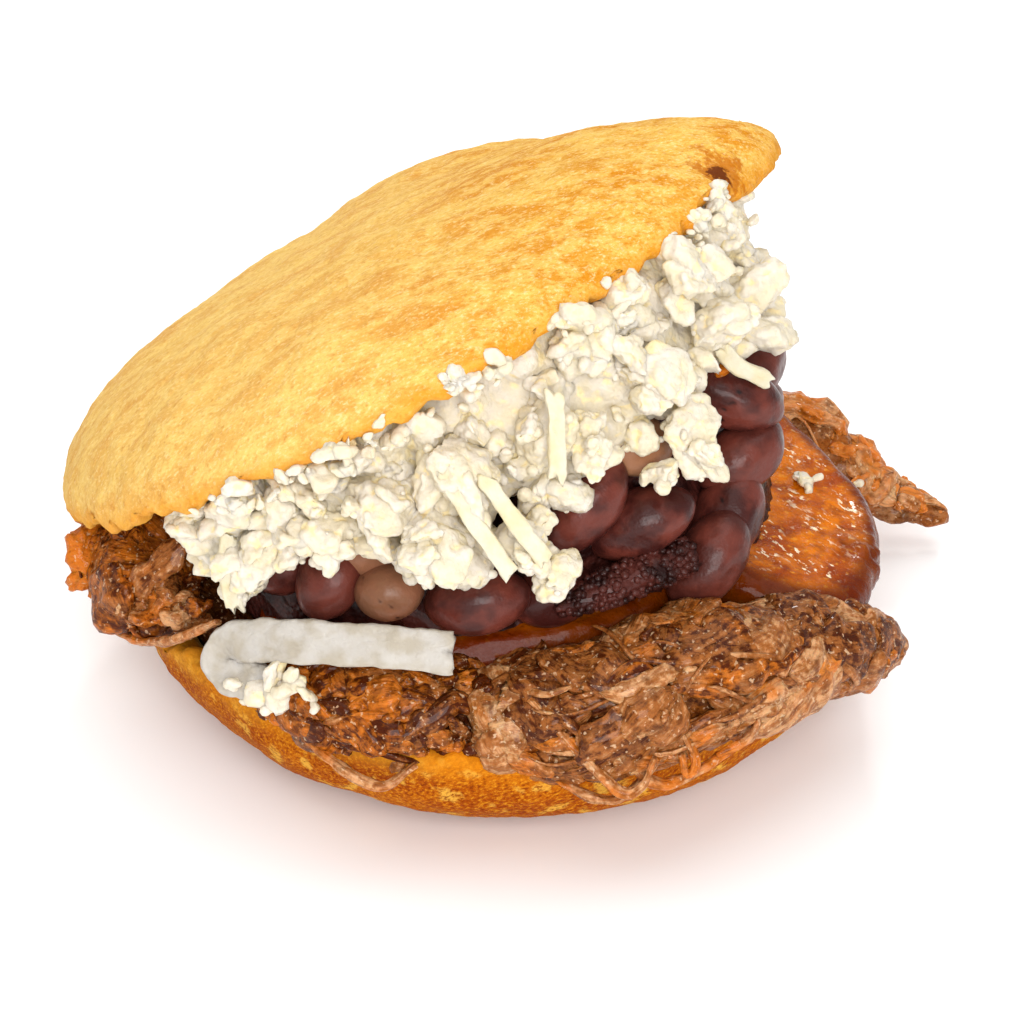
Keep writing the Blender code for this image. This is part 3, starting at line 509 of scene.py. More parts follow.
def rope(path, width, thick, sides, facing=None, relief=1.0, **marks):
    """A closed rope along a path, thick along facing, or turning with the path where none is given."""
    ahead = unit(np.gradient(path, axis=0))
    across = carried_sides(ahead) if facing is None else unit(np.cross(ahead, facing))
    through = np.cross(across, ahead)
    angle = round_angles(sides)[None, :, None]
    width = np.broadcast_to(width, len(path))[:, None, None]
    thick = np.broadcast_to(thick, len(path))[:, None, None]
    out = across[:, None] * width * np.cos(angle) + through[:, None] * thick * np.sin(angle)
    return turned_skin(path[:, None] + out * relief, **marks)


def add_object(name, data):
    """A new object in the scene."""
    item = bpy.data.objects.new(name, data)
    bpy.context.scene.collection.objects.link(item)
    return item


def make_piece(name, shape, material, replaced=()):
    """A mesh object from a shape, riding on the model and standing for the nodes that it replaces."""
    mesh = bpy.data.meshes.new(name)
    mesh.from_pydata((shape.points * MM).tolist(), [], shape.triangles.tolist())
    for mark, values in shape.marks.items():
        mesh.attributes.new(mark, "FLOAT", "POINT").data.foreach_set("value", values.astype(np.float32))
    mesh.shade_smooth()
    mesh.materials.append(material)
    piece = add_object(name, mesh)
    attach(piece, "root")
    if replaced:
        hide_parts(*replaced)


def top_axes():
    """The top half's right, back and up directions once it leans on the hinge."""
    axis = Vector(level(TOP_LEANS_TO + 90))
    lean = Matrix.Rotation(math.radians(TOP_LEAN), 3, axis)
    return [np.array(lean @ Vector(side)) for side in ((1, 0, 0), (0, 1, 0), (0, 0, 1))]


def hinge_distance(azimuth):
    """How many degrees azimuths lie from the middle of the hinge."""
    return np.abs((azimuth - (HINGE_FROM + HINGE_TO) / 2 + 180) % 360 - 180)


def on_top_half(flat, height):
    """Points of the top half as it leans, from level ones round its middle and heights above its rim."""
    level_part = TOP_CENTRE + flat[..., :1] * TOP_RIGHT + flat[..., 1:2] * TOP_BACK
    return level_part + height[..., None] * TOP_UP


TOP_RIGHT, TOP_BACK, TOP_UP = top_axes()


def bottom_face(azimuth, share, inner=False):
    """Points on the bottom half, from the edge of its flat base (share 0) to the lip (share 1)."""
    azimuth, share = np.broadcast_arrays(azimuth, share)
    turn = share * math.pi / 2
    base, floor = FLAT_RADIUS - BASE_INSET * inner, WALL * inner
    rim = around(LIP_RADIUS, azimuth) - WALL * inner
    reach = base + (rim - base) * np.sin(turn) ** BELLY
    points = level(azimuth) * reach[..., None]
    points[..., 2] = floor + (around(LIP_HEIGHT, azimuth) - floor) * (1 - np.cos(turn))
    if not inner:
        lumps = rough(points, SKIN_LUMP, SKIN_RELIEF) * (share > 0)
        points = points + level(azimuth) * lumps[..., None]
    return points


def top_face(azimuth, share, inner=False):
    """Points on the top half, from the middle of its dome (share 0) to the lip (share 1)."""
    azimuth, share = np.broadcast_arrays(azimuth, share)
    spread = np.sin(share * math.pi / 2)
    edge = -WALL * inner
    rim = RIM_RADIUS * around(TOP_REACH, azimuth) + edge
    height = (DOME_HEIGHT + edge) * np.clip(1 - spread**DOME_SQUARE, 0, 1) ** DOME_ROUND
    height = height + around(DOME_LIFT, azimuth) * DOME_LIFT_PEAK * share**2 * (1 - share)
    height = height - around(LIP_DROOP, azimuth) * share**DROOP_POWER
    points = on_top_half(level(azimuth) * (rim * spread)[..., None], height)
    return points if inner else points + TOP_UP * rough(points, SKIN_LUMP, SKIN_RELIEF)[..., None]


def bread_sheet(azimuth, inner):
    """One face of the bread as a grid: at each azimuth a column up the bottom half and over the top half."""
    bottom, top = INNER_ROWS if inner else OUTER_ROWS
    azimuth = azimuth[:, None]
    away = hinge_distance(azimuth) - (HINGE_TO - HINGE_FROM) / 2
    pinch = PINCH * np.clip(1 - away / PINCH_SPAN, 0, 1)
    low, high = bottom_face(azimuth, 1.0, inner), top_face(azimuth, 1.0, inner)
    pull = pinch[..., None] * (high - low)
    low_share = np.linspace(0, 1, bottom)[None]
    high_share = np.linspace(1, 0, top + 1)[None, :-1]
    rise = np.linspace(0, 1, HINGE_ROWS + 2)[None, 1:-1, None]
    low_rows = bottom_face(azimuth, low_share, inner) + low_share[..., None] ** PULL_POWER * pull
    high_rows = top_face(azimuth, high_share, inner) - high_share[..., None] ** PULL_POWER * pull
    low, high = low + pull, high - pull
    bulge = HINGE_BULGE * np.sin(math.pi * rise) * level(azimuth)
    return np.concatenate([low_rows, low + rise * (high - low) + bulge, high_rows], axis=1)


def sheet_faces(rows, low_lip, hinged):
    """Triangles over a face of the bread, left open between the lips where it isn't hinged."""
    column, row = np.arange(COLUMNS)[:, None], np.arange(rows - 1)[None]
    shut = (row < low_lip) | (row > low_lip + HINGE_ROWS) | hinged[:, None]
    after = (column + 1) % COLUMNS
    a, b = (column * rows + row)[shut], (after * rows + row)[shut]
    return np.concatenate([np.stack([a, b, b + 1], -1), np.stack([a, b + 1, a + 1], -1)])


def mouth_loop():
    """The way round the mouth, as columns, rows above the bottom lip and ways out: along the bottom lip, up
    one end of the hinge, back along the top lip and down its other end."""
    start, end = HINGE_TO * COLUMNS // 360, HINGE_FROM * COLUMNS // 360 + COLUMNS
    steps = range(HINGE_ROWS + 1)
    loop = [(column, 0, UP) for column in range(start, end)]
    loop += [(end, step, level(HINGE_FROM - 90)) for step in steps]
    loop += [(column, HINGE_ROWS + 1, -TOP_UP) for column in range(end, start, -1)]
    loop += [(start, HINGE_ROWS + 1 - step, level(HINGE_TO + 90)) for step in steps]
    return loop


def face_rows(inner):
    """How many rows a face of the bread has up to its bottom lip, and how many in all."""
    bottom, top = INNER_ROWS if inner else OUTER_ROWS
    return bottom, bottom + HINGE_ROWS + top


def bread_face(azimuth, inner):
    """One whole face of the bread, with torn lips, closed in the middle of its base and of its dome."""
    bottom, rows = face_rows(inner)
    row = np.arange(rows)
    hinged = (azimuth >= HINGE_FROM) & (azimuth < HINGE_TO)
    mouth = np.where(hinged, HINGE_TORN, 1.0)[:, None]
    near = np.concatenate([np.linspace(0, 1, bottom), np.ones(HINGE_ROWS),
                           np.linspace(1, 0, rows - bottom - HINGE_ROWS + 1)[:-1]])
    grid = bread_sheet(azimuth, inner)
    torn = around(TORN, azimuth)[:, None]
    rag = torn * rough(grid, TORN_SIZE, TORN_HEIGHT) * mouth * near[None] ** TORN_POWER
    grid = grid + np.where((row < bottom)[:, None], UP, -TOP_UP) * rag[..., None]
    blend = HINGE_BLEND * (1 - eased(hinge_distance(azimuth), *BLEND_FADES))[:, None]
    lower = 1 - eased(row, bottom - blend, bottom + HINGE_ROWS + blend)
    marks = {"edge": np.append((near**EDGE_POWER * mouth).ravel(), [0, 0]), "inside": float(inner),
             "lower": np.append(lower.ravel(), [1, 0])}
    column = np.arange(COLUMNS) * rows
    beside = np.roll(column, -1)
    base = np.full(COLUMNS, COLUMNS * rows)
    caps = [np.stack([base, beside, column], -1),
            np.stack([base + 1, column + rows - 1, beside + rows - 1], -1)]
    faces = np.concatenate([sheet_faces(rows, bottom - 1, hinged)] + caps)
    middles = [np.array([0, 0, WALL * inner]), top_face(0.0, 0.0, inner)]
    return Shape(np.concatenate([grid.reshape(-1, 3), middles]), faces[:, ::-1] if inner else faces, **marks)


def lip_directions(loop):
    """The ways that the lips bulge along the loop round the mouth, eased round its corners."""
    out = np.array([direction for _, _, direction in loop])
    for _ in range(LIP_SMOOTHING):
        out = (np.roll(out, 1, axis=0) + 2 * out + np.roll(out, -1, axis=0)) / 4
    return out


def lip_ring(outer, inner, out, row):
    """One of the rows of points that round the lips off, between the edges of the two faces."""
    angle = math.pi * row / LIP_ROWS
    size = LIP_ROUND * (1 + rough(outer, LIP_LUMP, LIP_RELIEF))
    ring = (outer + inner) / 2 + (outer - inner) / 2 * math.cos(angle)
    return ring + out * (size * math.sin(angle))[:, None]


def edge_numbers(loop, inner, first):
    """The numbers of a face's points along the loop round the mouth, where its own start from first."""
    bottom, rows = face_rows(inner)
    return np.array([first + column % COLUMNS * rows + bottom - 1 + step for column, step, _ in loop])


def lip_rows(outer, inner, loop):
    """The points of the round lips, row by row, as a shape that has no triangles yet."""
    out = lip_directions(loop)
    rows = range(1, LIP_ROWS)
    points = np.concatenate([lip_ring(outer, inner, out, row) for row in rows])
    at_bottom = [float(step == 0) for _, step, _ in loop]
    inside = np.repeat([row / LIP_ROWS for row in rows], len(loop))
    return Shape(points, np.zeros((0, 3)), edge=1.0, inside=inside, lower=np.tile(at_bottom, len(rows)))


def bread_skin():
    """The bread's two faces, joined by round lips along the loop round the mouth."""
    azimuth = np.arange(COLUMNS) * 360 / COLUMNS
    faces = [bread_face(azimuth, inner) for inner in (False, True)]
    loop = mouth_loop()
    edges = [edge_numbers(loop, inner, len(faces[0].points) * inner) for inner in (False, True)]
    skin = joined(faces)
    lips = lip_rows(skin.points[edges[0]], skin.points[edges[1]], loop)
    numbers = len(skin.points) + np.arange(len(lips.points)).reshape(LIP_ROWS - 1, -1)
    skin = joined([skin, lips])
    rings = [edges[0], *numbers, edges[1]]
    for here, there in zip(rings, rings[1:]):
        beside, beyond = np.roll(here, -1), np.roll(there, -1)
        pair = [np.stack([here, beside, beyond], -1), np.stack([here, beyond, there], -1)]
        skin.triangles = np.concatenate([skin.triangles] + pair)
    return skin


def bread_shape():
    """The bread: both halves and the hinge in one skin, with its grain, and marks for its colours."""
    shape = trimmed(bread_skin()).facing_out()
    for size, height in GRAIN:
        shape.pushed(rough(shape.points, size, height))
    shape.held_above(0)
    for name, middle, reach in BROWNED:
        away = np.linalg.norm(shape.points - middle, axis=1) / reach
        shape.marks[name] = 1 - eased(away + rough(shape.points, BROWNED_LUMP, BROWNED_RELIEF), *BROWNED_EDGE)
    # Painted light: the pale mark lightens the bread towards its left, where light falls brighter.
    shape.marks["pale"] = eased(-shape.points[:, 0], *LIT_SIDE_SPAN)
    # Painted shade: the hollow mark darkens the bread in its hollows.
    shape.marks["hollow"] = shape.hollows(*BREAD_HOLLOWS)
    return shape


def slice_shape(middle, half_length, half_width, turn, pitch, roll):
    """A slice of plantain: an uneven oval slab with soft edges, its upper face a little hollow."""
    turns = ((turn, "Z"), (pitch, "Y"), (roll, "X"))
    pose = reduce(matmul, (Matrix.Rotation(math.radians(angle), 3, axis) for angle, axis in turns))
    share, height = smooth_path(SLICE_PROFILE, SLICE_ROWS)[1:-1].T[..., None]
    angle = round_angles(SLICE_COLUMNS)[None]
    wave = 1 + SLICE_WAVES[0] * np.sin(3 * angle + middle[0]) + SLICE_WAVES[1] * np.sin(5 * angle)
    along, over = half_length * wave * share * np.cos(angle), half_width * wave * share * np.sin(angle)
    flat = np.stack([along, over, height + 0 * angle], -1)
    rim = np.broadcast_to(eased(share, *SLICE_RIM), flat.shape[:2])
    shape = turned_skin(flat, rim=np.append(rim.ravel(), [0, 0]))
    shape.pushed(lumpy(shape.points * SLICE_STRETCH, *SLICE_LUMPS) + rough(shape.points, *SLICE_GRAIN))
    # Painted shade: the hollow mark darkens the slice in its hollows.
    shape.marks["hollow"] = shape.hollows(*SLICE_HOLLOWS)
    shape.points = shape.points @ np.array(pose).T + np.array(middle)
    near = 1 - eased(np.linalg.norm(shape.points - NUB_AT, axis=1), *NUB_REACH)
    shape.pushed(near * (NUB_HEIGHT + rough(shape.points, *NUB_LUMPS)))
    shape.marks["rim"] = np.maximum(shape.marks["rim"], NUB_BROWN * near)
    return shape


def floor_point(azimuth, reach):
    """Points on the inner face of the bottom half, level with its lip beyond it."""
    base, rim = FLAT_RADIUS - BASE_INSET, around(LIP_RADIUS, azimuth) - WALL
    share = np.clip((reach - base) / (rim - base), 0, 1)
    rise = 1 - np.cos(np.arcsin(share ** (1 / BELLY)))
    points = level(azimuth) * np.asarray(reach)[..., None]
    points[..., 2] = WALL + (around(LIP_HEIGHT, azimuth) - WALL) * rise
    return points


def roof_point(azimuth, reach):
    """Points on the inner face of the top half."""
    spread = np.minimum(reach / (RIM_RADIUS * around(TOP_REACH, azimuth) - WALL), 1)
    height = (DOME_HEIGHT - WALL) * (1 - spread**DOME_SQUARE) ** DOME_ROUND
    return on_top_half(level(azimuth) * np.asarray(reach)[..., None], height)


def between(azimuth, reach, rise, lift=0.0):
    """Points between the halves: rise 0 is the floor and 1 the roof, and lift adds millimetres to it."""
    azimuth, reach, rise, lift = np.broadcast_arrays(azimuth, reach, rise, lift)
    floor, roof = floor_point(azimuth, reach), roof_point(azimuth, reach)
    gap = np.linalg.norm(roof - floor, axis=-1)
    return floor + (rise + lift / gap)[..., None] * (roof - floor)


def layer_points(azimuth, share, side, reach_knots, floor_knots, roof_knots):
    """Points on a layer of the filling between two shares of the height: share goes out from its middle to
    its edge, and side from its underside (-1) to its top (1)."""
    floor, roof = around(floor_knots, azimuth), around(roof_knots, azimuth)
    reach = around(reach_knots, azimuth) * share
    return between(azimuth, reach, (floor + roof) / 2 + (roof - floor) / 2 * side, -LAYER_INSET * side)


def layer_shape(*knots):
    """A layer of the filling as a lumpy disc."""
    share, side = smooth_path(LAYER_PROFILE, LAYER_ROWS)[1:-1].T[..., None]
    azimuth = np.linspace(0, 360, LAYER_COLUMNS, endpoint=False)[None]
    rings = layer_points(azimuth, share, side, *knots)
    return turned_skin(rings + level(azimuth) * (share * rough(rings, LAYER_LUMP, LAYER_RELIEF))[..., None])


def bundle_line(bundle, steps=BUNDLE_STEPS):
    """A bundle's path, and its radius at even steps along it."""
    path = smooth_path([spot for spot, _ in bundle], steps)
    return path, smooth_path([[radius] for _, radius in bundle], steps)[:, 0]


def bundle_spots(bundle, share, lean, depth):
    """Points by a bundle's surface, their radius and the way out there: share runs along the bundle, and
    lean from its outer side (0) over its top (90)."""
    path, radii = bundle_line(bundle)
    outward = unit(np.cross(np.gradient(path, axis=0), UP))
    outward *= np.sign(np.sum(outward * path))
    steps = np.linspace(0, 1, BUNDLE_STEPS + 1)
    spots, outward = (read_off(share, steps, rows) for rows in (path, outward))
    radius = np.interp(share, steps, radii)
    lean = np.radians(lean)[:, None]
    out = outward * np.cos(lean) + UP * np.sin(lean) * BUNDLE_FLAT
    return spots + out * (radius * depth)[:, None], radius, out


def bundle_core(bundle, warmth, tone):
    """The body of a bundle, its ends drawn in."""
    path, radii = bundle_line(bundle)
    share = np.linspace(-1, 1, BUNDLE_STEPS + 1)
    radii = radii * np.sqrt(np.clip(1 - share**BODY_END_POWER, 0.02, 1)) * BODY_SHARE
    core = rope(path, radii, radii * BUNDLE_FLAT, BUNDLE_SIDES, BODY_FACES)
    core.pushed(rough(core.points * BODY_STRETCH, *BODY_LUMPS) + rough(core.points, *BODY_GRAIN))
    return grained(core, BODY_TONE + tone, BODY_WARMTH + warmth, BODY_SHADE)


def grained(shape, tone, warm, hollow):
    """Gives a bit of beef its marks, with a grain that runs across the plate, and the hollow mark that its
    painted shade reads.
    """
    across, away, up = shape.points.T * MM
    marks = {"tone": tone, "warm": warm, "hollow": hollow, "along": across * 0.4, "over": away, "deep": up}
    return Shape(shape.points, shape.triangles, **marks)


def beef_rope(path, width, thick, sides, rng, tone, warm, hollow, facing=None, ridges=3):
    """A strand of beef, ridged along its length, with marks that carry its grain."""
    steps = np.append(0, np.cumsum(step_lengths(path)))
    angle = round_angles(sides)
    seed = rng.uniform(0, 100)
    wave = np.cos(ridges * angle[None] + steps[:, None] * rng.uniform(*RIDGE_TWIST) + seed)
    long, wide = KNOB_STRETCH
    knobs = [[noise.noise((seed, step * long, wide * side)) for side in np.cos(angle)] for step in steps]
    relief = 1 + RIDGE_HEIGHT * wave + KNOB_HEIGHT * np.array(knobs)
    over = np.tile(np.cos(angle) * np.mean(width), len(path))
    deep = np.tile(np.sin(angle) * np.mean(thick), len(path))
    # Painted shade: the troughs between ridges are marked darker.
    marks = {"tone": tone, "warm": warm, "hollow": np.append(hollow - RIDGE_SHADE * wave, [hollow] * 2),
             "along": np.append(np.repeat(steps, sides), [0, 0]) * GRAIN_STRETCH * MM,
             "over": np.append(over, [0, 0]) * MM,
             "deep": (np.append(deep, [0, 0]) + 20 * seed) * MM}
    return rope(path, width, thick, sides, facing, relief[..., None], **marks)


def shred(bundle, warmth, tone, rng, length, half, flat, sides, ridges, depth):
    """A shred of beef that lies on a bundle at a slant of its own, its ends thinner."""
    path, radii = bundle_line(bundle)
    length, slant, seed = rng.uniform(*length), rng.gauss(0, SLANT), rng.uniform(0, 100)
    span = min(length * abs(math.cos(slant)) / step_lengths(path).sum(), 0.8)
    t = np.linspace(0, 1, max(8, int(length * SHRED_STEPS)))
    sway, rise = (np.array([noise.noise((seed, value * length / 5, row)) for value in t]) for row in (0, 9))
    turn = math.degrees(length * math.sin(slant) / radii.mean())
    lean = rng.uniform(*STRAND_FAN) + turn * (t - 0.5) + SWAY * sway
    raised = depth + SHRED_LIFT * rise + rng.uniform(-TILT, TILT) * (t - 0.5)
    spots, reach, out = bundle_spots(bundle, rng.uniform(0, 1 - span) + span * t, lean, raised)
    size = rng.uniform(*half) * np.minimum(1, reach / FULL_RADIUS)
    size = size * (SHRED_ENDS + (1 - SHRED_ENDS) * (1 - np.abs(2 * t - 1) ** 4) ** 0.6)
    if rng.random() < LOOSE_ENDS:
        away = np.array([rng.uniform(-1, 1), rng.uniform(-1, 0.3), rng.uniform(-0.3, 1)])
        spots = spots + away * LOOSE_END_REACH * eased(t, 0.55, 1.0)[:, None]
    thick, tone = size * rng.uniform(*flat), rng.uniform(*SHRED_TONE) + tone
    # Painted shade: shreds that lie deeper under the others are marked darker.
    warm, hollow = rng.random() ** 1.5 + warmth, 0.45 - 0.4 * (depth - 1)
    return beef_rope(spots, size, thick, sides, rng, tone, warm, hollow, out, rng.randint(*ridges))


def beef_lump(spot, half, rng, warm, tone=0.0):
    """A small knobbly lump of beef."""
    points, triangles = BALLS[3 if half > FINE_LUMP_HALF else 2]
    shaped = points * half * np.array([rng.uniform(*LUMP_LENGTH), 1.0, rng.uniform(*LUMP_THICK)])
    lump = Shape(shaped @ turn_to(any_way(rng)).T + spot, triangles)
    lump.pushed(lumpy(lump.points, (1.1, 0.55 * half), (0.5, 0.2 * half)))
    return grained(lump, rng.uniform(*LUMP_TONE) + tone, warm, hollow=0.35)


def bundle_lumps(bundle, warmth, tone, count, rng):
    """Lumps scattered over a bundle."""
    lumps = []
    for _ in range(count):
        place, lean = np.array([rng.uniform(*LUMP_PLACE)]), np.array([rng.uniform(*STRAND_FAN)])
        spots, radius, _ = bundle_spots(bundle, place, lean, rng.uniform(*LUMP_DEPTH))
        half = rng.uniform(*LUMP_HALF) * min(1, radius[0] / 4)
        lumps.append(beef_lump(spots[0], half, rng, rng.random() + warmth, tone))
    return lumps


def beef_shape():
    """The beef: its body, the bundles with their chunks and thick shreds, and lumps on them."""
    rng = random.Random(SEED)
    core = layer_shape(BEEF_REACH, {0: 0.0}, BEEF_TOP)
    core.pushed(rough(core.points * BEEF_STRETCH, *BEEF_LUMPS) + rough(core.points, *BEEF_GRAIN))
    # The layer under the bundles is marked dark, as painted shade.
    shapes = [grained(core, tone=0.3, warm=0.4, hollow=0.7)]
    for bundle, warmth, tone, chunks, thick, _, _, lumps in SHREDS:
        shapes.append(bundle_core(bundle, warmth, tone))
        for kind, count in ((CHUNK, chunks), (THICK, thick)):
            shapes += [shred(bundle, warmth, tone, rng, **kind) for _ in range(count)]
        shapes += bundle_lumps(bundle, warmth, tone, lumps, rng)
    for spots, count, warmth in LUMP_TRAILS:
        for spot in smooth_path(spots, count):
            spot = spot + [rng.uniform(-TRAIL_SPREAD, TRAIL_SPREAD) for _ in range(3)]
            shapes.append(beef_lump(spot, rng.uniform(*TRAIL_HALF), rng, warmth))
    shapes += [beef_lump(np.array(spot), half, rng, warmth) for spot, half, warmth in SINGLE_LUMPS]
    return joined(shapes).held_above(BEEF_FLOOR)


def fibre_shape():
    """Thinner shreds and fibres over the bundles, and the loose strands that hang out."""
    rng = random.Random(SEED)
    shapes = []
    for bundle, warmth, tone, _, _, thin, fibres, _ in SHREDS:
        for kind, count in ((THIN, thin), (FIBRE, fibres)):
            shapes += [shred(bundle, warmth, tone, rng, **kind) for _ in range(count)]
    for spots in LOOSE_STRANDS + LOOPS:
        path = smooth_path(spots, LOOSE_STEPS)
        arch = np.sin(math.pi * np.linspace(0.05, 0.95, LOOSE_STEPS + 1))
        size = LOOSE_RADIUS * (0.45 + 0.55 * arch**0.6)
        shapes.append(beef_rope(path, size * LOOSE_WIDE, size * LOOSE_THICK, LOOSE_SIDES, rng,
                                tone=0.8, warm=0.75, hollow=0.4))
    path = smooth_path(STRAP_PATH, STRAP_STEPS)
    width = STRAP_HALF * (0.5 + 0.5 * np.sin(math.pi * np.linspace(0.1, 0.9, STRAP_STEPS + 1)))
    shapes.append(beef_rope(path, width, width * STRAP_THICK, STRAP_SIDES, rng,
                            tone=0.5, warm=0.5, hollow=0.4, facing=STRAP_FACES, ridges=STRAP_RIDGES))
    return joined(shapes).held_above(FIBRE_FLOOR)


def crack(points, seed, rng):
    """How deep a crack across a bean is at each of its points, from 0 to 1."""
    across = np.array([rng.uniform(0.5, 1), rng.uniform(-0.5, 0.5), rng.uniform(-0.5, 0.5)])
    away = np.abs(points @ across - rng.uniform(-0.4, 0.4) + rough(points + seed, 0.7, 0.14))
    reach = eased(rough(points + seed + 7, 1.3, 1.0), -0.25, 0.1)
    return np.exp(-((away / CRACK_WIDTH) ** 2)) * reach


def bean(middle, along, size, detail, rng):
    """A black bean: a plump oval, a little bent, with a dimple, soft dents and now and then a crack."""
    points, triangles = BALLS[detail]
    plump = BEAN_PLUMP + (1 - BEAN_PLUMP) * size
    half = np.array([BEAN_HALF[0] * size, BEAN_HALF[1] * plump, BEAN_HALF[2] * plump])
    seed = rng.uniform(0, 50)
    x, y, z = points.T
    shaped = points.copy()
    shaped[:, 1] += BEAN_BEND * (x**2 - 0.35)
    shaped[:, 1] += DIMPLE * (np.exp(-((x / DIMPLE_HALF[0]) ** 2 + (z / DIMPLE_HALF[1]) ** 2)) * (y < 0))
    dents = lumpy(points + seed, *BEAN_DENTS)
    split = crack(points, seed, rng) if rng.random() < CRACKED else np.zeros(len(points))
    shaped = shaped * (1 + dents - CRACK_DEPTH * split)[:, None] * half
    points = shaped @ turn_to(along).T + np.array(middle)
    return Shape(points, triangles, tone=rng.random(), split=split, tan=0.0)


def bean_shape():
    """The beans that show, each in its place."""
    rng = random.Random(SEED)
    beans = [bean(middle, along, size, 4 if index < FINE_BEANS else 3, rng)
             for index, (middle, along, size) in enumerate(BEANS)]
    for index, tan in TAN_BEANS.items():
        beans[index].marks["tan"] += tan
    return joined(beans)


def mash_grain(spot, rng):
    """One granule of the band."""
    points, triangles = BALLS[1]
    half = rng.uniform(*MASH_RADIUS)
    stretch = np.array([1.0, rng.uniform(0.8, 1.2), rng.uniform(0.7, 1.1)])
    return Shape(points * half * stretch + spot, triangles)


def mash_shape():
    """The soft dark layer that the beans sit in, with a band of glossy granules along its front."""
    rng = random.Random(SEED)
    core = layer_shape(BEAN_REACH, BEEF_TOP, CHEESE_FLOOR)
    core.pushed(lumpy(core.points, *MASH_RELIEF))
    path, radii = bundle_line(MASH_BAND, BAND_STEPS)
    band = rope(path, radii, radii, BAND_SIDES)
    band.pushed(rough(band.points, *BAND_LUMPS))
    spots, _ = scattered(band, MASH_GRAINS, np.random.default_rng(SEED))
    return joined([core, band] + [mash_grain(spot, rng) for spot in spots])


def scattered(shape, count, picks):
    """Random points on a skin, as many to each bit of its area, with the way out of it at each."""
    a, b, c = shape.corners()
    out = np.cross(b - a, c - a)
    area = np.linalg.norm(out, axis=1)
    chosen = picks.choice(len(area), count, p=area / area.sum())
    u, v = picks.random((2, count, 1))
    u, v = np.where(u + v > 1, 1 - u, u), np.where(u + v > 1, 1 - v, v)
    spots = a[chosen] + u * (b - a)[chosen] + v * (c - a)[chosen]
    return spots, out[chosen] / area[chosen, None]


def nodules(points):
    """Rounded bumps that meet in creases, as on a curd."""
    flat = (np.asarray(points) / NODULE).tolist()
    near = np.array([noise.voronoi(point)[0][0] for point in flat])
    return NODULE_HEIGHT * (0.8 - 2 * near**2)


def chip(middle, half, rng, detail):
    """A broken bit of cheese: flat faces with soft edges, and a curd's bumps over a part of it."""
    points, triangles = BALLS[detail]
    facets = unit(np.array([[rng.gauss(0, 1) for _ in range(3)] for _ in range(FACETS)]))
    depth = np.array([rng.uniform(*FACET_DEPTH) for _ in range(FACETS)])
    lean = np.clip(points @ facets.T, 0.01, None) / depth
    reach = np.minimum((lean**FACET_POWER).sum(1) ** (-1 / FACET_POWER), 1.1)
    stretch = np.array([rng.uniform(*share) for share in CHIP_STRETCH])
    bit = Shape((points * reach[:, None] * half * stretch) @ turn_to(any_way(rng)).T + middle, triangles)
    height = min(1, half / FULL_RELIEF_HALF)
    bumpy = 0.35 + 0.65 * eased(rough(bit.points, 5.0, 1.0, 3.3), -0.3, 0.0)
    bumps = nodules(bit.points) * bumpy * height
    bit.pushed(rough(bit.points, *CHIP_LUMPS) * height + bumps)
    inward = middle[:2] / np.linalg.norm(middle[:2]) @ (middle[:2] - bit.points[:, :2]).T / half
    # Painted bounce light: the side facing into the filling and the creases between curds are marked for a
    # lighter cream.
    bit.marks["hollow"] = np.maximum(eased(inward, -0.3, 1.0), 0.55 - 0.8 * bumps / NODULE_HEIGHT)
    return bit


def belt_shape(*knots):
    """The outer part of a layer as a lumpy ring."""
    share, side = smooth_path(BELT_PROFILE + BELT_PROFILE[:1], BELT_ROWS)[:-1].T[:, None]
    azimuth = np.linspace(0, 360, BELT_COLUMNS, endpoint=False)[:, None]
    ring = layer_points(azimuth, share, side, *knots)
    ring = ring + level(azimuth) * rough(ring, *BELT_LUMPS)[..., None]
    triangles = grid_faces(BELT_COLUMNS + 1, BELT_ROWS) % (BELT_COLUMNS * BELT_ROWS)
    belt = Shape(ring.reshape(-1, 3), triangles).facing_out()
    bumps = nodules(belt.points)
    belt.pushed(rough(belt.points, *BELT_GRAIN) + bumps)
    # Painted bounce light: the creases between curds are marked for a lighter cream.
    belt.marks["hollow"] = 0.6 - 0.7 * bumps / NODULE_HEIGHT
    return belt


def cheese_spot(rng, depth):
    """A random place at the front of the cheese."""
    first, last = CRUMB_AZIMUTHS
    azimuth = first + (last - first) * rng.random() ** 1.35
    rise = float(around(CHEESE_FLOOR, azimuth))
    rise += (0.97 - rise) * rng.random()
    reach = float(around(CHEESE_REACH, azimuth)) - rng.uniform(*depth)
    return between(azimuth, reach + 1.8 * float(eased(rise, 0.75, 0.95)), rise)


def clump_shapes():
    """The cheese's body with the smaller chips of its clumps, and the main chip of every clump."""
    rng = random.Random(SEED)
    core = layer_shape(CHEESE_REACH, CHEESE_FLOOR, {0: 1.0})
    core.points = core.points * CHEESE_BODY
    # Painted bounce light: the body inside is marked all over for a lighter cream.
    core.marks["hollow"] = np.ones(len(core.points))
    body, mains = [core, belt_shape(CHEESE_REACH, CHEESE_FLOOR, {0: 1.0})], []
    for middle, radius in CLUMPS:
        mains.append(chip(np.array(middle), radius * CLUMP_SHARE, rng, 5))
        for _ in range(SATELLITES):
            away = np.array([rng.gauss(0, 1), rng.gauss(-0.6, 1), rng.gauss(0, 1)])
            away *= 0.75 * radius / np.linalg.norm(away)
            body.append(chip(middle + away, radius * rng.uniform(*SATELLITE_SHARE), rng, 4))
    return joined(body), joined(mains)


def chip_shape():
    """Chips along the edge of the cheese."""
    rng = random.Random(SEED + 1)
    spots = (cheese_spot(rng, CHIP_DEPTH) for _ in range(CHIPS))
    return joined([chip(spot, rng.uniform(*CHIP_HALF), rng, 4) for spot in spots])


def lip_spot(rng):
    """A random place on the edge of the top half, over the cheese."""
    return top_face(rng.uniform(*LIP_CRUMB_AZIMUTHS), 1.0) - TOP_UP * rng.uniform(*LIP_CRUMB_DROP)


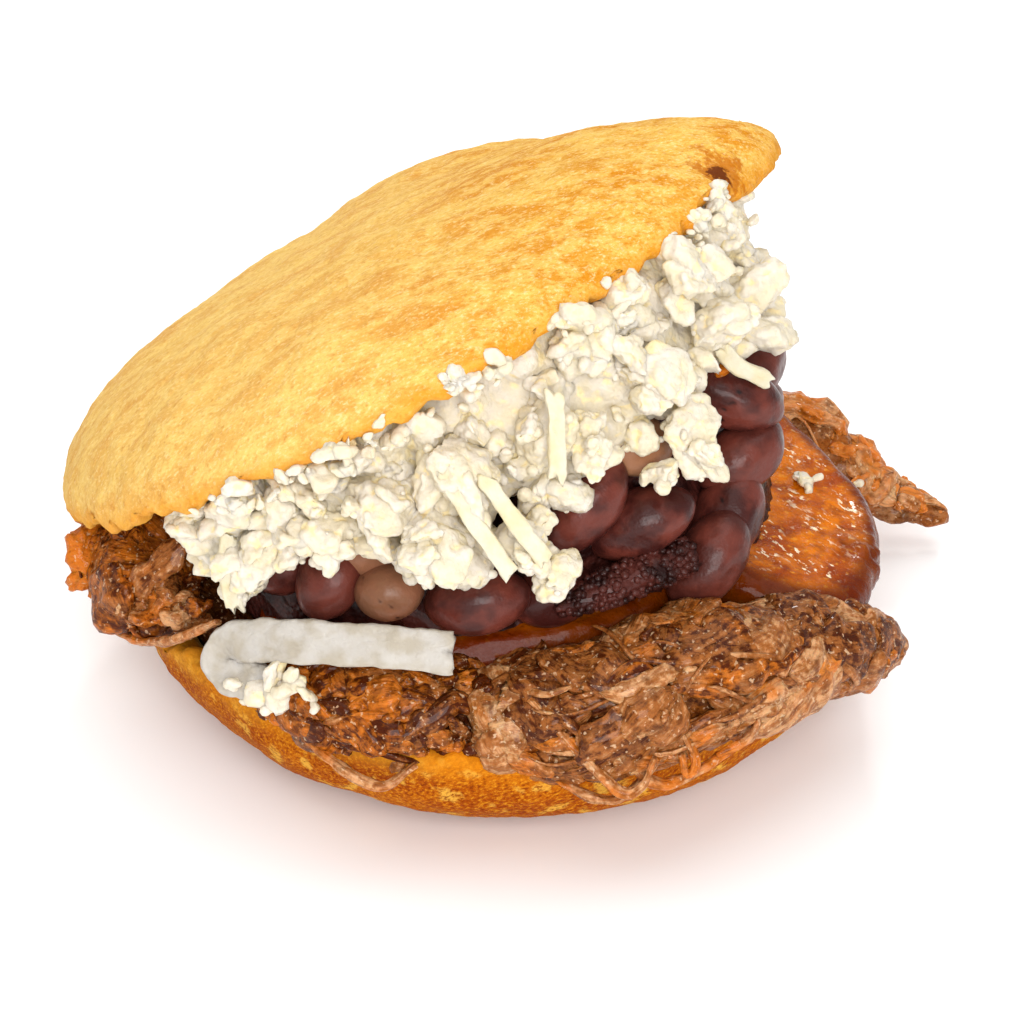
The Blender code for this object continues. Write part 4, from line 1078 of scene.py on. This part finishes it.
def crumb_shape():
    """Crumbs along the edge of the cheese, on the lip above it, on the pieces to its right and on the
    strip's end."""
    rng = random.Random(SEED + 2)
    crumbs = [(cheese_spot(rng, CRUMB_DEPTH), rng.uniform(*CRUMB_HALF)) for _ in range(CRUMBS)]
    edge = [spot for spot in (lip_spot(rng) for _ in range(3 * LIP_CRUMBS)) if rough(spot, 7.0, 1.0) > -0.1]
    smallest, largest = LIP_CRUMB_HALF
    crumbs += [(spot, smallest + (largest - smallest) * rng.random() ** 2) for spot in edge[:LIP_CRUMBS]]
    crumbs += [(np.array(spot), half) for spot, half in FAR_CRUMBS + STRIP_CRUMBS]
    return joined([chip(spot, half, rng, 3 if half > FINE_CRUMB_HALF else 2) for spot, half in crumbs])


def grain_shape(under):
    """Grains of cheese that cling to the outer faces of the chips."""
    rng = random.Random(SEED)
    spots, out = scattered(under, 20 * GRAINS, np.random.default_rng(SEED))
    azimuth = np.degrees(np.arctan2(spots[:, 1], spots[:, 0]))
    shown = (azimuth > CRUMB_AZIMUTHS[0]) & (azimuth < CRUMB_AZIMUTHS[1])
    outer = np.einsum("ij,ij->i", out, level(azimuth)) > 0.3
    dense = rough(spots, 4.0, 1.0) > 0.0
    points, triangles = BALLS[2]
    grains = []
    for spot in spots[outer & shown & dense][:GRAINS]:
        stretch = np.array([rng.uniform(0.7, 1.4) for _ in range(3)])
        grains.append(Shape(points * stretch * rng.uniform(*GRAIN_RADIUS) + spot, triangles, hollow=0.0))
    return joined(grains)


def teeth(over, seed):
    """How far the end of a ribbon is torn back from side to side, as a share."""
    return np.array([abs(noise.noise((width, seed, 0.5))) for width in over])


def ribbon(spots, half, facing, steps, torn, ragged=0.0):
    """A flat strip of cheese with a soft edge, its ends torn into teeth, and its second half ragged."""
    path = smooth_path(spots, RIBBON_STEPS)
    length = step_lengths(path).sum()
    ahead = unit(np.gradient(path, axis=0))
    across = unit(np.cross(ahead, facing))
    through = np.cross(across, ahead)
    angle = round_angles(RIBBON_SIDES)
    square = (np.abs(np.cos(angle)) ** 4 + np.abs(np.sin(angle)) ** 4) ** -0.25
    over, deep = half[0] * square * np.cos(angle), half[1] * square * np.sin(angle)
    first, last = (depth * 2 / length * teeth(over, end * 9.3 + spots[0][0])
                   for end, depth in enumerate(torn))
    place = np.linspace(0, 1, steps + 1)[:, None]
    place = (first + place * (1 - first - last)) * RIBBON_STEPS
    spot, side, out = (read_off(place, range(RIBBON_STEPS + 1), rows) for rows in (path, across, through))
    shape = turned_skin(spot + side * over[None, :, None] + out * deep[None, :, None], hollow=RIBBON_HOLLOW)
    shaggy = np.append(np.repeat(eased(np.linspace(0, 1, steps + 1), 0.5, 0.7), RIBBON_SIDES), [0, 1])
    shape.pushed(lumpy(shape.points, *RIBBON_RELIEF)
                 + shaggy * lumpy(shape.points, (2.2, 1.0 * ragged), (1.0, 0.4 * ragged)))
    return shape


def srgb(colour):
    """A colour as the screen shows it, 0 to 255, as the shader's linear values."""
    parts = [part / 255 for part in colour]
    linear = (part / 12.92 if part <= 0.04045 else ((part + 0.055) / 1.055) ** 2.4 for part in parts)
    return (*linear, 1.0)


class Finish:
    """A material's nodes, added and linked by name, so that each finish reads as a few lines."""

    def __init__(self, name, roughness, **values):
        self.material = bpy.data.materials.new(name)
        self.material.use_nodes = True
        self.tree = self.material.node_tree
        self.shader = self.tree.nodes["Principled BSDF"].inputs
        self.shader["Roughness"].default_value = roughness
        for socket, value in values.items():
            self.shader[socket.replace("_", " ")].default_value = value
        self.where = self.node("TexCoord", "Object", {})

    def link(self, value, socket):
        """Gives a socket a value or another node's result."""
        if isinstance(value, bpy.types.NodeSocket):
            self.tree.links.new(value, socket)
        else:
            socket.default_value = value

    def node(self, kind, result, inputs, **settings):
        """One result of a new node."""
        node = self.tree.nodes.new("ShaderNode" + kind)
        for name, setting in settings.items():
            setattr(node, name, setting)
        for socket, value in inputs.items():
            self.link(value, node.inputs[socket])
        return node.outputs[result]

    def mark(self, name):
        """What a mark says at each point of the surface."""
        return self.node("Attribute", "Fac", {}, attribute_name=name)

    def place(self, *names):
        """A place made of three marks."""
        return self.node("CombineXYZ", "Vector", dict(zip("XYZ", map(self.mark, names))))

    def stretched(self, turn, lengths):
        """The place in axes turned by degrees, along which patterns come out so many times longer."""
        turn = [math.radians(angle) for angle in turn]
        inputs = {"Vector": self.where, "Rotation": turn, "Scale": lengths}
        return self.node("Mapping", "Vector", inputs, vector_type="TEXTURE")

    def noise(self, size, detail, where=None, roughness=0.5):
        """Noise from 0 to 1 whose lumps are size millimetres wide."""
        inputs = {"Vector": where or self.where, "Scale": 1 / (size * MM)}
        return self.node("TexNoise", "Fac", {**inputs, "Detail": detail, "Roughness": roughness})

    def cells(self, size):
        """The distance to the nearest of scattered points about size millimetres apart."""
        return self.node("TexVoronoi", "Distance", {"Vector": self.where, "Scale": 1 / (size * MM)})

    def span(self, value, low, high, start=0.0, end=1.0):
        """Maps low to high onto start to end, softly and held at the ends. The value may be a mark's name."""
        value = self.mark(value) if isinstance(value, str) else value
        inputs = {"Value": value, "From Min": low, "From Max": high, "To Min": start, "To Max": end}
        return self.node("MapRange", "Result", inputs, interpolation_type="SMOOTHSTEP")

    def sum(self, first, second, how="ADD"):
        """Two values added, or put together in another way that a Math node has."""
        return self.node("Math", "Value", {0: first, 1: second}, operation=how)

    def mix(self, share, *colours):
        """The first colour, turning into the second as share goes from 0 to 1."""
        first, second = (srgb(colour) if isinstance(colour, tuple) else colour for colour in colours)
        inputs = {"Factor": share, MIX_FIRST: first, MIX_SECOND: second}
        return self.node("Mix", MIX_RESULT, inputs, data_type="RGBA")

    def tinted(self, base, *tints):
        """A colour under tints, each with its value, where that starts and is full, its share and colour."""
        for value, low, high, share, colour in tints:
            base = self.mix(self.span(value, low, high, 0, share), base, colour)
        return base

    def paint(self, base, *tints):
        """Colours the surface with a base under tints."""
        self.link(self.tinted(base, *tints), self.shader["Base Color"])

    def polish(self, pattern, glossy, dull):
        """Makes the surface glossy where a pattern is low and dull where it is high."""
        self.link(self.span(pattern, *ROUGHNESS_SPAN, glossy, dull), self.shader["Roughness"])

    def bump(self, *layers):
        """Fine relief from patterns with their depths in millimetres, one on top of another."""
        below = {}
        for height, depth in layers:
            inputs = {"Height": height, "Distance": depth * MM, **below}
            below = {"Normal": self.node("Bump", "Normal", inputs)}
        self.link(below["Normal"], self.shader["Normal"])


def bread_finish():
    """Golden fried corn dough, browner on the bottom half, with a pale crumb inside, painted shade in its
    hollows and painted light on its paler left side.
    """
    finish = Finish("fried_corn_bread", 0.65, Subsurface_Weight=0.05, Subsurface_Radius=(1.0, 0.5, 0.2),
                    Subsurface_Scale=1 * MM, Specular_IOR_Level=0.04)
    streaked = finish.stretched((0, -29, 7), (1.7, 1.0, 1.0))
    patches = finish.span(finish.noise(7.0, 4, streaked), 0.35, 0.65)
    grain = finish.noise(0.38, 4, streaked, 0.75)
    bottom_half = finish.tinted(
        finish.mix(patches, (176, 90, 3), (154, 66, 1)),
        (grain, 0.5, 0.64, 0.8, (212, 142, 28)),
        (finish.noise(3.0, 4), 0.54, 0.66, 0.75, (226, 172, 66)),
        (grain, 0.49, 0.38, 0.85, (116, 42, 1)),
    )
    rim = finish.mix(patches, (212, 128, 16), (220, 150, 40))
    crumb = finish.mix(grain, (236, 214, 150), (216, 178, 96))
    spots = finish.span(finish.noise(0.8, 3), 0.3, 0.7, -0.45, 0.35)
    finish.paint(
        finish.mix(patches, (228, 178, 76), (208, 132, 8)),
        (finish.noise(22.0, 2), 0.4, 0.7, 0.5, (208, 142, 40)),
        (finish.noise(2.2, 4, streaked, 0.6), 0.43, 0.58, 0.62, (238, 198, 104)),
        (grain, 0.52, 0.66, 0.6, (250, 226, 170)),
        (grain, 0.47, 0.35, 0.6, (198, 112, 6)),
        # painted shade: a deeper, darker orange in the hollows
        ("hollow", 0.6, 1.0, 0.45, (206, 124, 22)),
        # painted light: paler towards the left
        ("pale", 0.0, 1.0, 0.4, (234, 200, 124)),
        ("lower", 0.2, 0.9, 1.0, bottom_half),
        ("edge", 0.2, 1.0, 0.65, rim),
        ("inside", 0.6, 1.0, 1.0, crumb),
        (finish.sum(finish.mark("burnt"), spots), 0.1, 0.8, 0.85, (186, 104, 14)),
        (finish.sum(finish.mark("charred"), spots), 0.3, 0.7, 0.9, (92, 34, 8)),
    )
    finish.bump((finish.noise(1.6, 3, None, 0.6), 0.35), (grain, 0.14))
    return finish.material


def plantain_finish():
    """Dark amber fried plantain, nearly black at its rim, with painted shade in its hollows and painted
    highlights for the glints of oil on top.
    """
    finish = Finish("fried_plantain", 0.3, Subsurface_Weight=0.1, Subsurface_Radius=(1.0, 0.35, 0.08),
                    Subsurface_Scale=2 * MM, Specular_IOR_Level=0.05, Coat_Weight=0.15, Coat_Roughness=0.05)
    streaked = finish.stretched((0, 0, -50), (2.0, 1.0, 1.0))
    # Painted highlights: pale dashes in patches on the upper face, painted into the colour as glints.
    glint_dashes = finish.span(finish.noise(0.8, 3, streaked, 0.6), 0.58, 0.62)
    glint_patches = finish.span(finish.noise(5.0, 2), 0.44, 0.58)
    upper = finish.span("rim", 0.1, 0.7, 1, 0)
    glints = finish.sum(finish.sum(glint_dashes, glint_patches, "MULTIPLY"), upper, "MULTIPLY")
    patches = finish.span(finish.noise(6.0, 3), 0.42, 0.66)
    fried = finish.tinted(
        finish.mix(patches, (218, 116, 4), (162, 68, 2)),
        (finish.noise(2.6, 3), 0.5, 0.72, 0.6, (112, 34, 2)),
        (finish.noise(0.9, 3), 0.6, 0.7, 0.5, (240, 160, 50)),
        ("rim", 0.0, 0.85, 0.9, (84, 22, 1)),
        # painted shade: nearly black in the hollows
        ("hollow", 0.6, 0.9, 0.7, (96, 28, 2)),
    )
    finish.paint(finish.mix(glints, fried, (248, 226, 192)))
    finish.polish(finish.noise(1.2, 2), 0.2, 0.4)
    finish.bump((finish.noise(1.8, 3), 0.5), (finish.noise(0.6, 2), 0.15))
    return finish.material


def beef_finish():
    """Braised beef, from dark brown to pale, under an orange sauce where it is warm, with painted shade in its
    gaps and hollows and pale specks painted as wet glints.
    """
    finish = Finish("braised_beef", 0.4, Subsurface_Weight=0.2, Subsurface_Radius=(1.0, 0.4, 0.2),
                    Subsurface_Scale=1 * MM, Specular_IOR_Level=0.03, Coat_Weight=0.22, Coat_Roughness=0.07)
    grain = finish.noise(0.45, 3, finish.place("along", "over", "deep"), 0.6)
    mottled = finish.span(finish.noise(1.1, 4, None, 0.6), 0.35, 0.65, -0.25, 0.25)
    tone = finish.sum(finish.mark("tone"), finish.span(grain, 0.3, 0.7, -0.2, 0.2))
    tone = finish.sum(tone, mottled)
    sauce = finish.sum(finish.mark("warm"), finish.span(finish.noise(5.0, 2), 0.35, 0.7, -0.5, 0.5))
    finish.paint(
        finish.mix(finish.span(tone, 0.0, 0.6), (72, 28, 6), (151, 89, 41)),
        (tone, 0.55, 1.2, 1.0, (208, 154, 106)),
        (sauce, 0.4, 1.2, 0.85, finish.mix(finish.span(tone, 0.0, 0.9), (74, 26, 2), (204, 110, 22))),
        ("warm", 1.6, 2.0, 0.5, (200, 106, 16)),
        # painted shade: dark blotches that stand in for the shaded gaps between shreds
        (finish.noise(2.8, 4, None, 0.6), 0.55, 0.66, 0.45, (66, 24, 6)),
        # painted shade: darkest where the hollow mark is high
        ("hollow", 0.45, 0.8, 0.85, (44, 14, 3)),
        # painted highlights: pale specks that stand in for wet glints, and pass as bits of fat too
        (finish.noise(0.6, 3), 0.61, 0.69, 0.6, (222, 184, 146)),
    )
    finish.polish(finish.noise(2.5, 3), 0.22, 0.5)
    finish.bump((grain, 0.5), (finish.noise(0.6, 2), 0.2))
    return finish.material


def bean_finish():
    """Glossy skins of cooked black beans, some of them tan."""
    finish = Finish("black_bean", 0.36, Subsurface_Weight=0.03, Subsurface_Radius=(1.0, 0.4, 0.3),
                    Subsurface_Scale=1 * MM, Specular_IOR_Level=0.2, Coat_Weight=0.13, Coat_Roughness=0.15)
    patches = finish.span(finish.noise(4.0, 3), 0.35, 0.65)
    skin = finish.mix(patches, (58, 22, 18), (104, 48, 38))
    skin = finish.tinted(skin, ("tone", 0.3, 1.0, 0.5, (100, 50, 40)))
    finish.paint(finish.mix(finish.mark("tan"), skin, (160, 112, 80)), ("split", 0.3, 0.9, 1.0, (26, 11, 11)))
    finish.polish(finish.noise(1.5, 2), 0.28, 0.45)
    finish.bump((finish.noise(1.0, 3), 0.12), (finish.noise(0.3, 2), 0.04))
    return finish.material


def mash_finish():
    """The dark, wet mash between the beans."""
    finish = Finish("bean_mash", 0.35, Specular_IOR_Level=0.1, Coat_Weight=0.22, Coat_Roughness=0.08)
    finish.paint(finish.mix(finish.span(finish.noise(3.0, 3), 0.35, 0.65), (34, 12, 10), (78, 36, 30)))
    finish.bump((finish.noise(0.8, 3), 0.3), (finish.cells(0.7), 0.2))
    return finish.material


def cheese_finish(name, white, cream, curd=0.0):
    """White cheese between two colours, painted a lighter cream in its hollows as painted bounce light in their
    shade. Curd is how deep its fine curds are.
    """
    finish = Finish(name, 0.5, Subsurface_Weight=0.4, Subsurface_Radius=(1.0, 0.95, 0.8),
                    Subsurface_Scale=1 * MM, Specular_IOR_Level=0.3)
    milky = finish.mix(finish.span(finish.noise(3.0, 3), 0.35, 0.65), white, cream)
    # painted bounce light: a lighter cream in the hollows, where shade falls
    finish.paint(milky, ("hollow", 0.45, 0.95, 0.9, (244, 226, 176)))
    finish.polish(finish.noise(0.9, 2), 0.4, 0.65)
    finish.bump((finish.cells(0.9), -curd), (finish.noise(0.5, 3), 0.15))
    return finish.material


def make_floor():
    """The pale surface under the arepa."""
    half = FLOOR_SIZE / 2 * MM
    corners = [(-half, -half, 0), (half, -half, 0), (half, half, 0), (-half, half, 0)]
    mesh = bpy.data.meshes.new("floor")
    mesh.from_pydata(corners, [], [(0, 1, 2, 3)])
    finish = Finish("pale_floor", 0.8, Specular_IOR_Level=0.1)
    finish.paint(finish.mix(finish.noise(400.0, 1), (250, 250, 250), (253, 253, 253)))
    mesh.materials.append(finish.material)
    add_object("floor", mesh)


def aim(item, place, target):
    """Puts a lamp or the camera in its place and turns it towards a target."""
    item.location = np.asarray(place) * MM
    item.rotation_euler = Vector(np.asarray(target) - place).to_track_quat("-Z", "Y").to_euler()


def make_lights():
    """An even white sky and the lamps."""
    world = bpy.data.worlds.new("studio")
    world.use_nodes = True
    sky = world.node_tree.nodes["Background"].inputs
    sky["Color"].default_value = (1, 1, 1, 1)
    sky["Strength"].default_value = SKY
    bpy.context.scene.world = world
    for name, place, side, watts in LAMPS:
        lamp = bpy.data.lights.new(name, "AREA")
        lamp.size = side * MM
        lamp.energy = watts
        aim(add_object(name, lamp), np.array(place), SHOWN_POINT)


def make_camera():
    """The photograph's camera."""
    lens = bpy.data.cameras.new("camera")
    lens.lens, lens.sensor_width = CAMERA_LENS, SENSOR
    lens.clip_start, lens.clip_end = NEAREST_SEEN, FURTHEST_SEEN
    camera = add_object("camera", lens)
    angle = math.radians(CAMERA_ELEVATION)
    away = np.array([0, -math.cos(angle), math.sin(angle)]) * CAMERA_DISTANCE
    aim(camera, SHOWN_POINT + away, SHOWN_POINT)
    bpy.context.scene.camera = camera
    bpy.context.scene.view_settings.view_transform = "Standard"


def make_cheese():
    """The crumbled heap in its several pieces, the gratings on it and the folded strip."""
    curd = cheese_finish("white_cheese", (220, 211, 196), (217, 205, 178), 0.15)
    body, clumps = clump_shapes()
    chips = chip_shape()
    make_piece("cheese_crumble", body, curd, ["grated_cheese"])
    make_piece("cheese_clumps", clumps, curd)
    make_piece("cheese_chips", chips, curd)
    make_piece("cheese_crumbs", crumb_shape(), curd)
    make_piece("cheese_grains", grain_shape(joined([clumps, chips])), curd)
    gratings = joined([ribbon(spots, GRATING_HALF, GRATING_FACES, GRATING_STEPS, GRATING_TORN)
                       for spots in GRATINGS])
    shards = cheese_finish("grated_cheese_shards", (214, 206, 184), (212, 198, 160))
    make_piece("cheese_gratings", gratings, shards)
    strip = ribbon(STRIP_PATH, STRIP_HALF, STRIP_FACES, STRIP_STEPS, STRIP_TORN, STRIP_RAGGED)
    smooth = cheese_finish("smooth_cheese", (188, 182, 174), (172, 162, 146))
    make_piece("folded_cheese", strip, smooth, ["cheese_strip"])


def make_food():
    """Every piece of the arepa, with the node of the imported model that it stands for."""
    make_piece("bread", bread_shape(), bread_finish(), ["arepa_bread"])
    plantain = plantain_finish()
    front, right = slice_shape(**FRONT_SLICE), slice_shape(**RIGHT_SLICE)
    make_piece("front_plantain", front, plantain, ["plantain_slice_front"])
    make_piece("right_plantain", right, plantain, ["plantain_slice_right"])
    beef = beef_finish()
    make_piece("beef_shreds", beef_shape(), beef, ["shredded_beef"])
    make_piece("beef_fibres", fibre_shape(), beef)
    make_piece("beans", bean_shape(), bean_finish(), ["black_beans"])
    make_piece("bean_mash", mash_shape(), mash_finish())
    make_cheese()


make_food()
make_floor()
make_lights()
make_camera()
